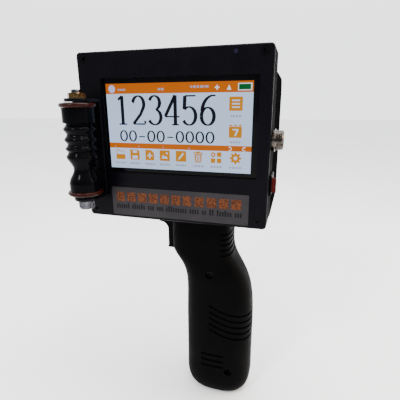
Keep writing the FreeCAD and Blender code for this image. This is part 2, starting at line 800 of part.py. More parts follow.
def axle_bolt():
    head_z = ARM_BOTTOM - BOLT_HEAD_L
    head = rod(BOLT_HEAD_R, axle_point(head_z), axle_point(ARM_BOTTOM))
    head = head.makeFillet(BOLT_HEAD_ROUND, edges_on_plane(head, Z, head_z))
    head = head.cut(hexagon(HEX_SOCKET_R, axle_point(head_z), Z, HEX_SOCKET_D))
    tip = ARM_TOP + NUT_T + BOLT_END
    shank = rod(AXLE_R, axle_point(ARM_BOTTOM), axle_point(tip))
    shank = shank.makeChamfer(BOLT_CHAMFER, edges_on_plane(shank, Z, tip))
    return join([head, shank])


def axle_nut():
    nut = hexagon(NUT_CORNER_R, axle_point(ARM_TOP), Z, NUT_T, NUT_TURN)
    crown = Part.makeCone(NUT_CROWN_LOW, NUT_CROWN_HIGH, NUT_T, axle_point(ARM_TOP), Z)
    hole = rod(AXLE_HOLE, axle_point(ARM_TOP - OVERRUN), axle_point(ARM_TOP + NUT_T + OVERRUN))
    return nut.common(crown).cut(hole)


def bracket_arm(z0):
    x0 = ROLLER_X - BRACKET_W / 2
    x1 = ROLLER_X + BRACKET_W / 2
    strip = box(x0, x1, ROLLER_Y, 0, z0, z0 + ARM_T)
    end = rod(ARM_R, axle_point(z0), axle_point(z0 + ARM_T))
    return strip.fuse(end)


def roller_bracket():
    """U-shaped bracket: a base on the case and an arm at each end of the roller."""
    x0 = ROLLER_X - BRACKET_W / 2
    x1 = ROLLER_X + BRACKET_W / 2
    base = box(x0, x1, -BRACKET_T, 0, ARM_BOTTOM, ARM_TOP)
    body = join([base, bracket_arm(ARM_BOTTOM), bracket_arm(ARM_TOP - ARM_T)])
    tools = [rod(AXLE_HOLE, axle_point(ARM_BOTTOM - OVERRUN), axle_point(ARM_TOP + OVERRUN))]
    tools += [countersink(p, Y, BRACKET_T + OVERRUN) for p in bracket_screw_points()]
    return cut_all(body, tools)


def bracket_screws():
    front = [countersunk(p, Y, BRACKET_SCREW_L) for p in bracket_screw_points()]
    return Part.makeCompound(front + [mirrored(s) for s in front])


# ---------------------------------------------------------------- ink cartridge
def ink_block(x0, x1, grow=0.0):
    t = INK_T / 2 + grow
    h = INK_H / 2 + grow
    return box(x0, x1, INK_Y - t, INK_Y + t, INK_Z - h, INK_Z + h)


def ink_cartridge():
    """Ink body, with the snout that carries the nozzles and a rib that stops the lid side."""
    body = ink_block(INK_FRONT, INK_BACK - INK_LID)
    body = body.makeFillet(INK_ROUND, edges_along(body, X))
    root = INK_FRONT + OVERRUN
    snout = rounded_box(SNOUT_END, root, INK_Y - SNOUT_T / 2, INK_Y + SNOUT_T / 2,
                        SNOUT_Z - SNOUT_H / 2, SNOUT_Z + SNOUT_H / 2, SNOUT_R, X)
    rib_z = INK_Z - INK_H / 2 + INK_RIB_LIFT
    rib = box(INK_FRONT - INK_RIB_L, root, INK_Y - INK_RIB_HALF, INK_Y + INK_RIB_HALF,
              rib_z, rib_z + INK_RIB_T)
    return join([body, snout, rib])


def cartridge_lid():
    lid = ink_block(INK_BACK - INK_LID, INK_BACK)
    return lid.makeFillet(INK_ROUND, edges_along(lid, X))


def nozzle_plate():
    return box(SNOUT_END - NOZZLE_T, SNOUT_END, INK_Y - NOZZLE_W / 2, INK_Y + NOZZLE_W / 2,
               SNOUT_Z - NOZZLE_H / 2, SNOUT_Z + NOZZLE_H / 2)


def cradle_openings():
    """The cartridge space, the window for the contacts and the slot behind the leaf spring."""
    inner = ink_block(-IN_SIDE - OVERRUN, INK_BACK + INK_GAP, INK_GAP)
    x0, x1, z0, z1 = CONTACTS
    near = INK_Y - INK_T / 2
    far = INK_Y + INK_T / 2
    past = CRADLE_T + 2 * OVERRUN
    window = box(x0, x1, near - past, near + OVERRUN, z0, z1)
    slot = box(LEAF_X[0] - LEAF_SLOT_GAP, LEAF_X[2] + LEAF_SLOT_GAP, far - OVERRUN, far + past,
               LEAF_Z - LEAF_SLOT_GAP, LEAF_Z + LEAF_W + LEAF_SLOT_GAP)
    return [inner, window, slot]


def cartridge_cradle():
    """Sleeve that holds the cartridge, open towards the print side."""
    outer = ink_block(-IN_SIDE, INK_BACK + INK_GAP + CRADLE_T, INK_GAP + CRADLE_T)
    under = INK_Z - INK_H / 2 - INK_GAP - CRADLE_T
    near = INK_Y - CRADLE_LEG_HALF
    far = INK_Y + CRADLE_LEG_HALF
    legs = [box(x, x + CRADLE_LEG_W, near, far, FLOOR, under) for x in CRADLE_LEG_X]
    return join([cut_all(outer, cradle_openings())] + legs)


def cradle_face():
    """Outer face of the cradle on the contact side."""
    return INK_Y - INK_T / 2 - INK_GAP - CRADLE_T


def contact_board():
    x0, x1, z0, z1 = CONTACTS
    face = cradle_face()
    return box(x0 - CONTACT_MARGIN, x1 + CONTACT_MARGIN, face - BOARD_T, face,
               z0 - CONTACT_MARGIN, z1 + CONTACT_MARGIN)


def contact_pins():
    """Spring contacts in a grid, just short of the cartridge."""
    x0, x1, z0, z1 = CONTACTS
    face = cradle_face()
    tip = INK_Y - INK_T / 2 - CONTACT_GAP
    pins = []
    for column in range(CONTACT_COLUMNS):
        x = x0 + (column + 0.5) * (x1 - x0) / CONTACT_COLUMNS
        for row in range(CONTACT_ROWS):
            z = z0 + (row + 0.5) * (z1 - z0) / CONTACT_ROWS
            pins.append(rod(CONTACT_R, V(x, face, z), V(x, tip, z)))
    return Part.makeCompound(pins)


def leaf_line(lift):
    """Bowed line of the leaf spring, lifted away from the cartridge."""
    tip = INK_Y + INK_T / 2 + CONTACT_GAP + lift
    back = tip + LEAF_BOW
    start, middle, end = LEAF_X
    return [V(start, back, LEAF_Z), V(middle, tip, LEAF_Z), V(end, back, LEAF_Z)]


def retaining_spring():
    """Bowed leaf that holds the cartridge by friction."""
    inner = leaf_line(0)
    outer = leaf_line(LEAF_T)
    edges = [Part.Arc(*inner).toShape(), Part.Arc(*outer).toShape()]
    edges += [Part.makeLine(inner[0], outer[0]), Part.makeLine(inner[2], outer[2])]
    return Part.Face(Part.Wire(Part.__sortEdges__(edges))).extrude(Z * LEAF_W)


def face_screw_points():
    return [V(-SIDE - FACE_T, y, z) for y in FACE_SCREW_Y for z in FACE_SCREW_Z]


def face_screw_holes():
    return [countersink(p, X, FACE_T + WALL + OVERRUN) for p in face_screw_points()]


def print_face_plate():
    """Steel plate round the nozzle opening that glides past the product."""
    plate = rounded_box(-SIDE - FACE_T, -SIDE, FACE_Y[0], FACE_Y[1], FACE_Z[0], FACE_Z[1], FACE_R, X)
    plate = plate.makeChamfer(EDGE_CHAMFER, edges_on_plane(plate, X, -SIDE - FACE_T))
    opening = ink_opening(-SIDE - FACE_T - OVERRUN, -SIDE + OVERRUN)
    return cut_all(plate, [opening] + face_screw_holes())


def face_plate_screws():
    return Part.makeCompound([countersunk(p, X, FACE_T + WALL + HOLE_EXTRA) for p in face_screw_points()])


# ---------------------------------------------------------------- hand grip
def grip_outline(z, left, right, half, power, inset):
    """Rounded outline of the grip at one height."""
    centre = (left + right) / 2
    a = (right - left) / 2 - inset
    b = half - inset
    points = []
    for i in range(GRIP_POINTS):
        t = 2 * math.pi * i / GRIP_POINTS
        c, s = math.cos(t), math.sin(t)
        x = centre + a * math.copysign(abs(c) ** (2 / power), c)
        y = GRIP_Y + b * math.copysign(abs(s) ** (2 / power), s)
        points.append(V(x, y, z))
    curve = Part.BSplineCurve()
    curve.interpolate(Points=points, PeriodicFlag=True)
    return Part.Wire(curve.toShape())


def grip_solid(inset):
    """The whole grip, shrunk on every side by an inset."""
    wires = [grip_outline(z, left, right, half, power, inset)
             for z, left, right, half, power in GRIP_SECTIONS]
    z0, left, right, half, power = GRIP_SECTIONS[-1]
    depth = z0 - GRIP_END - inset
    for step in GRIP_END_STEPS:
        t = math.radians(step)
        pull = GRIP_END_INSET * (1 - math.cos(t))
        wires.append(grip_outline(z0 - depth * math.sin(t), left + pull, right - pull,
                                  half - pull * GRIP_END_FLATTEN, power, inset))
    return Part.makeLoft(wires, True, False)


def groove_band(start, middle, end, drop):
    """Curved strip, one groove wide, cut right through the grip from front to back."""
    def arc(shift):
        points = [V(x, GRIP_Y - GRIP_REACH, z - drop + shift) for x, z in (start, middle, end)]
        return points, Part.Arc(*points).toShape()

    upper_points, upper = arc(GROOVE_W / 2)
    lower_points, lower = arc(-GROOVE_W / 2)
    sides = [Part.makeLine(upper_points[k], lower_points[k]) for k in (0, 2)]
    face = Part.Face(Part.Wire(Part.__sortEdges__([upper, lower] + sides)))
    return face.extrude(Y * (2 * GRIP_REACH))


def straight_bands(span, first, pitch, count):
    """Level strips, one groove wide, one under the other."""
    middle = (span[0] + span[1]) / 2
    return [box_about(V(middle, GRIP_Y, first - pitch * i), span[1] - span[0], 2 * GRIP_REACH, GROOVE_W)
            for i in range(count)]


def grip_grooves():
    """Shallow grooves: palm rest, heel and the back of the neck."""
    floor = grip_solid(GROOVE_DEPTH)
    strips = [groove_band(*PALM_GROOVE, PALM_PITCH * i) for i in range(PALM_GROOVES)]
    strips += straight_bands(HEEL_GROOVE_X, HEEL_GROOVE_Z, HEEL_PITCH, HEEL_GROOVES)
    strips += straight_bands(RIB_X, RIB_TOP, RIB_PITCH, RIBS)
    return [strip.cut(floor) for strip in strips]


def grip_top():
    """Flange that bolts to the case, with a hood over the trigger."""
    flange = rounded_box(FLANGE_X[0], FLANGE_X[1], GRIP_Y - FLANGE_Y, GRIP_Y + FLANGE_Y,
                         FLANGE_UNDER, BOTTOM, FLANGE_R, Z)
    hood = rounded_box(HOOD_X[0], HOOD_X[1], GRIP_Y - HOOD_Y, GRIP_Y + HOOD_Y, HOOD_UNDER, BOTTOM, HOOD_R, Z)
    hood = hood.makeFillet(HOOD_ROUND, edges_on_plane(hood, Z, HOOD_UNDER))
    return flange.fuse(hood)


def grip_openings():
    """Cable way up into the case, trigger slot and mounting screw holes."""
    x0, x1, y0, y1 = CABLE_HOLE
    tools = [box(x0, x1, y0, y1, NECK_SOLID - OVERRUN, BOTTOM + OVERRUN)]
    tools.append(box(SLOT_X[0], SLOT_X[1], GRIP_Y - SLOT_HALF, GRIP_Y + SLOT_HALF, SLOT_BOTTOM, HOOD_UNDER))
    low = BOTTOM - MOUNT_SCREW_L - OVERRUN
    tools += [rod(M3_HOLE, V(x, y, low), V(x, y, BOTTOM + OVERRUN)) for x, y in MOUNT_SCREWS]
    return tools


def grip_stiffeners():
    """Seat of the trigger spring, and the bosses of the two shell screws."""
    seat = box(SEAT_X, SEAT_X + SEAT_T, GRIP_Y - SEAT_HALF, GRIP_Y + SEAT_HALF,
               SPRING_Z - SEAT_DROP, NECK_SOLID + OVERRUN)
    near = GRIP_Y - GRIP_BOSS_REACH
    far = GRIP_Y + GRIP_BOSS_REACH
    return [seat] + [rod(GRIP_BOSS_R, V(x, near, z), V(x, far, z)) for x, z in GRIP_SCREWS]


def grip_screw_holes():
    outside = GRIP_Y - GRIP_REACH
    seat = GRIP_Y - GRIP_HEAD_SEAT
    recess = GRIP_HEAD_R + GRIP_HEAD_CLEAR
    tools = [rod(M3_HOLE, V(x, outside, z), V(x, GRIP_Y + GRIP_HOLE_REACH, z)) for x, z in GRIP_SCREWS]
    return tools + [rod(recess, V(x, outside, z), V(x, seat, z)) for x, z in GRIP_SCREWS]


def grip_half(near_side):
    """Everything on one side of the plane where the shells meet."""
    y0 = GRIP_Y - 2 * GRIP_REACH if near_side else GRIP_Y
    return box(*GRIP_SPAN_X, y0, y0 + 2 * GRIP_REACH, *GRIP_SPAN_Z)


def grip_hollow():
    """The space inside the grip, which stops under the flange."""
    cap = box(*GRIP_SPAN_X, GRIP_Y - GRIP_REACH, GRIP_Y + GRIP_REACH, NECK_SOLID, GRIP_SPAN_Z[1])
    return grip_solid(GRIP_WALL).cut(cap)


def grip_shell(near_side):
    """One of the two shells, parted at the middle of the grip."""
    half = grip_half(near_side)
    shell = grip_solid(0.0).common(half).fuse(grip_top().common(half))
    shell = shell.cut(grip_hollow().common(half))
    for tool in grip_openings():
        shell = shell.cut(tool)
    for part in grip_stiffeners():
        shell = shell.fuse(part.common(half))
    for tool in grip_screw_holes():
        shell = shell.cut(tool)
    return cut_all(shell, [groove.common(half) for groove in grip_grooves()])


def cap_screw(seat, inward, length, head_r, head_l):
    """Cap screw whose head sits on a seat, with a hexagonal drive."""
    top = seat - inward * head_l
    head = rod(head_r, top, seat).cut(hexagon(SHELL_DRIVE_R, top, inward, SHELL_DRIVE_D))
    return join([head, rod(M3_R, seat, seat + inward * length)])


def grip_screws():
    length = GRIP_HEAD_SEAT + GRIP_SCREW_REACH
    seats = [V(x, GRIP_Y - GRIP_HEAD_SEAT, z) for x, z in GRIP_SCREWS]
    return Part.makeCompound([cap_screw(p, Y, length, GRIP_HEAD_R, GRIP_HEAD_L) for p in seats])


def grip_mount_screws():
    length = FLOOR - BOTTOM + MOUNT_SCREW_L
    seats = [V(x, y, FLOOR) for x, y in MOUNT_SCREWS]
    return Part.makeCompound([cap_screw(p, -Z, length, MOUNT_HEAD_R, MOUNT_HEAD_L) for p in seats])


# ---------------------------------------------------------------- trigger
def trigger_outline():
    """Side view of the trigger: corners, then the start, middle and end of the flared curve."""
    face = TRIGGER_FACE
    lip = face - TRIGGER_LIP
    corners = [
        (TRIGGER_FLARE, TRIGGER_TOP),
        (TRIGGER_BACK, TRIGGER_TOP),
        (TRIGGER_BACK, TRIGGER_BOTTOM),
        (lip, TRIGGER_BOTTOM),
        (lip, TRIGGER_BOTTOM + TRIGGER_LIP_H),
        (face, TRIGGER_BOTTOM + TRIGGER_LIP_RUN),
        (face, TRIGGER_TOP - TRIGGER_CURVE_LOW),
    ]
    curve = [
        corners[-1],
        (face - TRIGGER_CURVE_MID[0], TRIGGER_TOP - TRIGGER_CURVE_MID[1]),
        (TRIGGER_FLARE, TRIGGER_TOP - TRIGGER_CURVE_HIGH),
    ]
    y = GRIP_Y - TRIGGER_HALF
    return [V(x, y, z) for x, z in corners], [V(x, y, z) for x, z in curve]


def trigger():
    """Push trigger with a flared top, a lip at its foot and ears that keep it in the slot."""
    corners, curve = trigger_outline()
    edges = [Part.makeLine(a, b) for a, b in zip(corners, corners[1:])]
    edges += [Part.Arc(*curve).toShape(), Part.makeLine(curve[-1], corners[0])]
    block = Part.Face(Part.Wire(edges)).extrude(Y * (2 * TRIGGER_HALF))
    ears = box(EAR_X, TRIGGER_BACK, GRIP_Y - EAR_HALF, GRIP_Y + EAR_HALF, EAR_BOTTOM, TRIGGER_TOP - EAR_DROP)
    return join([block, ears])


def trigger_spring():
    length = SEAT_X - TRIGGER_BACK - 2 * SPRING_WIRE
    helix = Part.makeHelix(length / SPRING_TURNS, length, SPRING_R)
    ring = Part.Wire(Part.makeCircle(SPRING_WIRE, V(SPRING_R, 0, 0), Y))
    coil = Part.Wire(helix).makePipeShell([ring], True, True)
    coil.rotate(V(0, 0, 0), Y, 90)
    coil.translate(V(TRIGGER_BACK + SPRING_WIRE, GRIP_Y, SPRING_Z))
    return coil


def trigger_switch():
    middle = V(SEAT_X + MICRO_DEPTH / 2, GRIP_Y, MICRO_Z)
    body = box_about(middle, MICRO_DEPTH, 2 * MICRO_HALF_Y, 2 * MICRO_HALF_Z)
    tip = TRIGGER_BACK + TRIGGER_TRAVEL + PLUNGER_GAP
    plunger = rod(PLUNGER_R, V(tip, GRIP_Y, MICRO_Z), V(SEAT_X + OVERRUN, GRIP_Y, MICRO_Z))
    return join([body, plunger])


# ---------------------------------------------------------------- battery
def battery_cells():
    cells = []
    for x in CELL_X:
        cell = rod(CELL_R, V(x, GRIP_Y, CELL_BOTTOM), V(x, GRIP_Y, CELL_BOTTOM + CELL_L))
        cells.append(cell.makeFillet(CELL_ROUND, cell.Edges))
    return Part.makeCompound(cells)


def battery_board():
    z = CELL_BOTTOM + CELL_L
    x0, x1 = BATTERY_BOARD_X
    return box(x0, x1, GRIP_Y - BATTERY_BOARD_HALF, GRIP_Y + BATTERY_BOARD_HALF, z, z + BOARD_T)


# ---------------------------------------------------------------- output
def save(node, shape):
    shape.translate(-HAND_HOLD)
    shape.exportStep("parts/" + node + ".step")
    solids = len(shape.Solids)
    print(node, "solids", solids, "valid", shape.isValid(), "volume", round(shape.Volume, 1))


def build():
    return {
        "front_panel": front_panel(),
        "panel_screws": panel_screws(),
        "front_frame": front_frame(),
        "rear_housing": rear_housing(),
        "case_screws": case_screws(),
        "window_gasket": window_gasket(),
        "touch_panel": touch_panel(),
        "lcd_module": lcd_module(),
        "front_label": front_label(),
        "status_light": status_light(),
        "main_board": main_board(),
        "board_standoffs": board_standoffs(),
        "board_parts": board_parts(),
        "buzzer": buzzer(),
        "socket_shell": socket_shell(),
        "socket_insert": socket_insert(),
        "socket_pins": Part.makeCompound(socket_pin_solids()),
        "socket_nut": socket_nut(),
        "switch_body": switch_body(),
        "switch_terminals": switch_terminals(),
        "rocker_button": rocker_button(),
        "roller_bracket_front": roller_bracket(),
        "roller_bracket_rear": mirrored(roller_bracket()),
        "bracket_screws": bracket_screws(),
        "roller_front": roller(),
        "roller_front_rings": roller_rings(),
        "roller_front_bushes": roller_bushes(),
        "encoder_magnet": encoder_magnet(),
        "encoder_board": encoder_board(),
        "axle_bolt_front": axle_bolt(),
        "axle_nut_front": axle_nut(),
        "roller_rear": mirrored(roller()),
        "roller_rear_rings": mirrored(roller_rings()),
        "roller_rear_bushes": mirrored(roller_bushes()),
        "axle_bolt_rear": mirrored(axle_bolt()),
        "axle_nut_rear": mirrored(axle_nut()),
        "ink_cartridge": ink_cartridge(),
        "cartridge_lid": cartridge_lid(),
        "nozzle_plate": nozzle_plate(),
        "cartridge_cradle": cartridge_cradle(),
        "contact_board": contact_board(),
        "contact_pins": contact_pins(),
        "retaining_spring": retaining_spring(),
        "print_face_plate": print_face_plate(),
        "face_plate_screws": face_plate_screws(),
        "grip_front_shell": grip_shell(True),
        "grip_rear_shell": grip_shell(False),
        "grip_screws": grip_screws(),
        "grip_mount_screws": grip_mount_screws(),
        "trigger": trigger(),
        "trigger_spring": trigger_spring(),
        "trigger_switch": trigger_switch(),
        "battery_cells": battery_cells(),
        "battery_board": battery_board(),
    }


os.makedirs("parts", exist_ok=True)
for node, shape in build().items():
    save(node, shape)
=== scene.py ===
import math
import random

import bmesh
import bpy
from mathutils import Matrix, Vector


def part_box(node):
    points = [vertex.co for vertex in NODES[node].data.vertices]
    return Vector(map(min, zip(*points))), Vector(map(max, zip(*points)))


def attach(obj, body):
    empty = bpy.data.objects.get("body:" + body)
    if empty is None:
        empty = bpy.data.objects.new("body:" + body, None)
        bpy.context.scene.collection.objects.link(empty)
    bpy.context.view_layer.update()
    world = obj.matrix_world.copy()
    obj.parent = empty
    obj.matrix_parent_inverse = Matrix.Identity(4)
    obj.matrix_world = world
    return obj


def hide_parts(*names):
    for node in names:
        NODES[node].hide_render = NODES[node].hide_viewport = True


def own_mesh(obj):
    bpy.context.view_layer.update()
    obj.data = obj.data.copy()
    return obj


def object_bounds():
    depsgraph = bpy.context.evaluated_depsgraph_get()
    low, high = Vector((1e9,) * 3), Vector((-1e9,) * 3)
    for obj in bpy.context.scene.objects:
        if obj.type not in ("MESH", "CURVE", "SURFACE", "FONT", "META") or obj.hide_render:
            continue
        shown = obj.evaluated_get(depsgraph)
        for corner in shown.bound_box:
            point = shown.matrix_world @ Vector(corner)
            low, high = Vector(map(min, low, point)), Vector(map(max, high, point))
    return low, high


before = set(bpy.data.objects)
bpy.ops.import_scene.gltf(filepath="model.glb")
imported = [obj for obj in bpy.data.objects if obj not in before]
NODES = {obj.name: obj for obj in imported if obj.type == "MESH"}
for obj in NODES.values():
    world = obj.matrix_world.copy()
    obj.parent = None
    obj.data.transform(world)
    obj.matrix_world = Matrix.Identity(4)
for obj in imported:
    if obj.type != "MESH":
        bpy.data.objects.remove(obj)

MM = 0.001
CAD_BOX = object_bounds()


# ---------------------------------------------------------------- materials

RAMP_START, RAMP_END = 0.35, 0.65
BACKLIGHT_DIMMEST = 0.96
SPAN_START, SPAN_END = 0.3, 0.7
BAND_DISTORTION = 0.4
BAND_DETAIL = 2.0

# Rubbed edges, paler partly as wear and partly as a painted highlight: their radius, the dot product of the
# rounded and the true normal where the surface is bent and where it is flat, and the amount at which the
# paint starts to turn pale and is fully pale.
RUB_GLINT_RADIUS = 0.5 * MM
RUB_GLINT_SAMPLES = 4
RUB_GLINT_BENT, RUB_GLINT_FLAT = 0.9, 0.995
RUB_GLINT_START, RUB_GLINT_FULL = 0.55, 0.9


class Finish:
    """A Principled material whose colour, roughness and relief come from procedural nodes."""

    def __init__(self, name, **sockets):
        self.material = bpy.data.materials.new(name)
        self.material.use_nodes = True
        self.nodes = self.material.node_tree.nodes
        self.links = self.material.node_tree.links
        self.shader = self.nodes["Principled BSDF"]
        self.normal = None
        self.feed(self.shader, **sockets)

    def node(self, kind, **settings):
        made = self.nodes.new("ShaderNode" + kind)
        for setting, value in settings.items():
            setattr(made, setting, value)
        return made

    def feed(self, node, **inputs):
        """Links or sets inputs of a node, named with _ for a space, and gives the node back."""
        for socket, value in inputs.items():
            target = node.inputs[socket.replace("_", " ")]
            if isinstance(value, bpy.types.NodeSocket):
                self.links.new(value, target)
            else:
                target.default_value = value
        return node

    def combine(self, kind, operation, first, second):
        """A node that works out one value from two, such as their product."""
        made = self.node(kind, operation=operation)
        self.links.new(first, made.inputs[0])
        self.links.new(second, made.inputs[1])
        return made

    def place(self, stretch=(1, 1, 1)):
        """Object coordinates, stretched along the axes."""
        start = self.node("TexCoord").outputs["Object"]
        return self.feed(self.node("Mapping"), Vector=start, Scale=stretch).outputs["Vector"]

    def noise(self, size, detail=3, stretch=(1, 1, 1), rough=0.5):
        """Noise whose blotches are about size millimetres across."""
        texture = self.feed(
            self.node("TexNoise"),
            Vector=self.place(stretch),
            Scale=1 / (size * MM),
            Detail=detail,
            Roughness=rough,
        )
        return texture.outputs["Fac"]

    def cell_edges(self, size):
        """Distance to the edges of cells about size millimetres across."""
        texture = self.feed(
            self.node("TexVoronoi", feature="DISTANCE_TO_EDGE"),
            Vector=self.place(),
            Scale=1 / (size * MM),
        )
        return texture.outputs["Distance"]

    def bands(self, pitch, direction):
        """Fine lathe lines, about pitch millimetres apart."""
        texture = self.feed(
            self.node("TexWave", wave_type="BANDS", bands_direction=direction),
            Vector=self.place(),
            Scale=1 / (pitch * MM) / math.pi,
            Distortion=BAND_DISTORTION,
            Detail=BAND_DETAIL,
        )
        return texture.outputs["Fac"]

    def ramp(self, factor, stops):
        """Blends the colours of stops, which are pairs of a position and a colour."""
        made = self.node("ValToRGB")
        first, *between, last = stops
        for element, (position, colour) in zip(made.color_ramp.elements, (first, last)):
            element.position = position
            element.color = (*colour, 1)
        for position, colour in between:
            made.color_ramp.elements.new(position).color = (*colour, 1)
        return self.feed(made, Fac=factor).outputs["Color"]

    def span(self, factor, low, high, start=SPAN_START, end=SPAN_END):
        """A value that runs from low to high as the factor runs from start to end."""
        made = self.feed(
            self.node("MapRange"), Value=factor, From_Min=start, From_Max=end, To_Min=low, To_Max=high
        )
        return made.outputs["Result"]

    def colour(self, factor, dark, light, start=RAMP_START, end=RAMP_END):
        self.feed(self.shader, Base_Color=self.ramp(factor, [(start, dark), (end, light)]))

    def mottle(self, factor, base, low, high, **ends):
        """Base colour that varies between low times and high times base."""
        self.colour(factor, scaled(base, low), scaled(base, high), **ends)

    def roughness(self, factor, low, high):
        self.feed(self.shader, Roughness=self.span(factor, low, high))

    def bump(self, height, depth, strength):
        """Adds a relief, depth millimetres high, on top of the reliefs before it."""
        made = self.feed(self.node("Bump"), Height=height, Distance=depth * MM, Strength=strength)
        if self.normal is not None:
            self.feed(made, Normal=self.normal)
        self.normal = made.outputs["Normal"]
        self.feed(self.shader, Normal=self.normal)

    def worn_and_highlit_edges(self, base, paler):
        """Rubbed edges, paler times as light, partly wear and partly a painted highlight: where a rounded
        normal leaves the true one.
        """
        rounded_normal = self.feed(self.node("Bevel", samples=RUB_GLINT_SAMPLES), Radius=RUB_GLINT_RADIUS)
        true_normal = self.node("NewGeometry").outputs["Normal"]
        aligned = self.combine("VectorMath", "DOT_PRODUCT", rounded_normal.outputs["Normal"], true_normal)
        edge = self.span(aligned.outputs["Value"], 1.0, 0.0, RUB_GLINT_BENT, RUB_GLINT_FLAT)
        patchy = self.combine("Math", "MULTIPLY", edge, self.noise(size=3.0, detail=5))
        # The paler edges are partly rubbed paint and partly a painted highlight.
        stops = [(0.0, base), (RUB_GLINT_START, base), (RUB_GLINT_FULL, scaled(base, paler))]
        self.feed(self.shader, Base_Color=self.ramp(patchy.outputs[0], stops))


def scaled(colour, factor):
    return tuple(min(1.0, channel * factor) for channel in colour)


# In each maker below, gloss is the lowest and highest roughness, and sizes and depths are in millimetres.


def paint(name, base, gloss=(0.28, 0.42), specular=0.04):
    """Stove paint on sheet metal: a fine orange peel, faint smears, rubbed edges that are also a painted
    highlight.
    """
    made = Finish(name, Specular_IOR_Level=specular)
    # Paler edges: rubbed paint and a painted highlight.
    made.worn_and_highlit_edges(base, paler=3.2)
    made.roughness(made.noise(size=14.0, detail=6), *gloss)
    made.bump(made.noise(size=0.9, detail=2), depth=0.012, strength=0.6)
    made.bump(made.noise(size=0.22, detail=1), depth=0.004, strength=0.5)
    return made.material


def moulded(name, base, gloss=(0.42, 0.56), grain=0.35, depth=0.03, specular=0.4):
    """Moulded plastic with the spark-eroded grain of its tool."""
    made = Finish(name, Specular_IOR_Level=specular)
    made.mottle(made.noise(size=18.0, detail=5), base, low=0.8, high=1.25)
    made.roughness(made.noise(size=9.0, detail=5), *gloss)
    made.bump(made.noise(size=grain, detail=2, rough=0.7), depth=depth, strength=0.7)
    return made.material


def polished(name, base, gloss=(0.08, 0.18), specular=0.2):
    """Polished plastic or glass with faint handling marks."""
    made = Finish(name, Specular_IOR_Level=specular)
    made.mottle(made.noise(size=12.0, detail=4), base, low=0.85, high=1.15)
    made.roughness(made.noise(size=5.0, detail=6), *gloss)
    made.bump(made.noise(size=1.6, detail=2), depth=0.006, strength=0.4)
    return made.material


def rubber(name, base, gloss, depth=0.02):
    made = Finish(name, Specular_IOR_Level=0.08)
    made.mottle(made.noise(size=2.2, detail=4), base, low=0.75, high=1.3)
    made.roughness(made.noise(size=1.2, detail=4), *gloss)
    made.bump(made.noise(size=0.3, detail=3), depth=depth, strength=0.6)
    return made.material


def turned(name, base, gloss=(0.18, 0.3), direction="Z", tarnish=(0.82, 1.1)):
    """Lathe-turned metal: fine tool lines, and a tarnish that darkens and clears in patches."""
    made = Finish(name, Metallic=1.0)
    made.mottle(made.noise(size=2.5, detail=5), base, *tarnish)
    made.roughness(made.noise(size=1.5, detail=4), *gloss)
    made.bump(made.bands(pitch=0.25, direction=direction), depth=0.006, strength=0.5)
    return made.material


def brushed(name, base, tarnish=(0.85, 1.1)):
    """Sheet metal brushed upwards."""
    made = Finish(name, Metallic=1.0)
    lines = made.noise(size=0.25, detail=4, stretch=(1, 1, 0.05))
    made.mottle(lines, base, *tarnish)
    made.roughness(lines, low=0.25, high=0.4)
    made.bump(lines, depth=0.004, strength=0.5)
    return made.material


def board(name, base):
    """Solder mask over copper tracks."""
    made = Finish(name, Specular_IOR_Level=0.5)
    tracks = made.cell_edges(size=3.0)
    made.mottle(tracks, base, low=1.9, high=1.0, start=0.02, end=0.06)
    made.roughness(made.noise(size=4.0, detail=4), low=0.28, high=0.4)
    made.bump(tracks, depth=0.03, strength=0.4)
    return made.material


def film(name, base):
    """Printed label film: silver-grey, slightly mottled, with a soft sheen."""
    made = Finish(name, Specular_IOR_Level=0.12)
    made.mottle(made.noise(size=26.0, detail=6), base, low=0.8, high=1.2)
    made.roughness(made.noise(size=6.0, detail=5), low=0.34, high=0.5)
    made.bump(made.noise(size=0.5, detail=2), depth=0.006, strength=0.4)
    return made.material


def print_ink(name, base):
    """Ink on the label, rubbed thin in patches."""
    made = Finish(name, Specular_IOR_Level=0.1)
    made.mottle(made.noise(size=1.0, detail=5), base, low=0.35, high=1.3, start=0.4, end=0.6)
    made.roughness(made.noise(size=2.0, detail=3), low=0.4, high=0.55)
    made.bump(made.noise(size=0.4, detail=2), depth=0.004, strength=0.4)
    return made.material


def glowing(name, light):
    """A lit patch of the display, faintly uneven as a backlight is."""
    made = Finish(name, Specular_IOR_Level=0.05, Roughness=0.25, Emission_Strength=1.0)
    made.mottle(made.noise(size=30.0, detail=2), light, low=0.01, high=0.02)
    stops = [(RAMP_START, scaled(light, BACKLIGHT_DIMMEST)), (RAMP_END, light)]
    made.feed(made.shader, Emission_Color=made.ramp(made.noise(size=40.0, detail=2), stops))
    return made.material


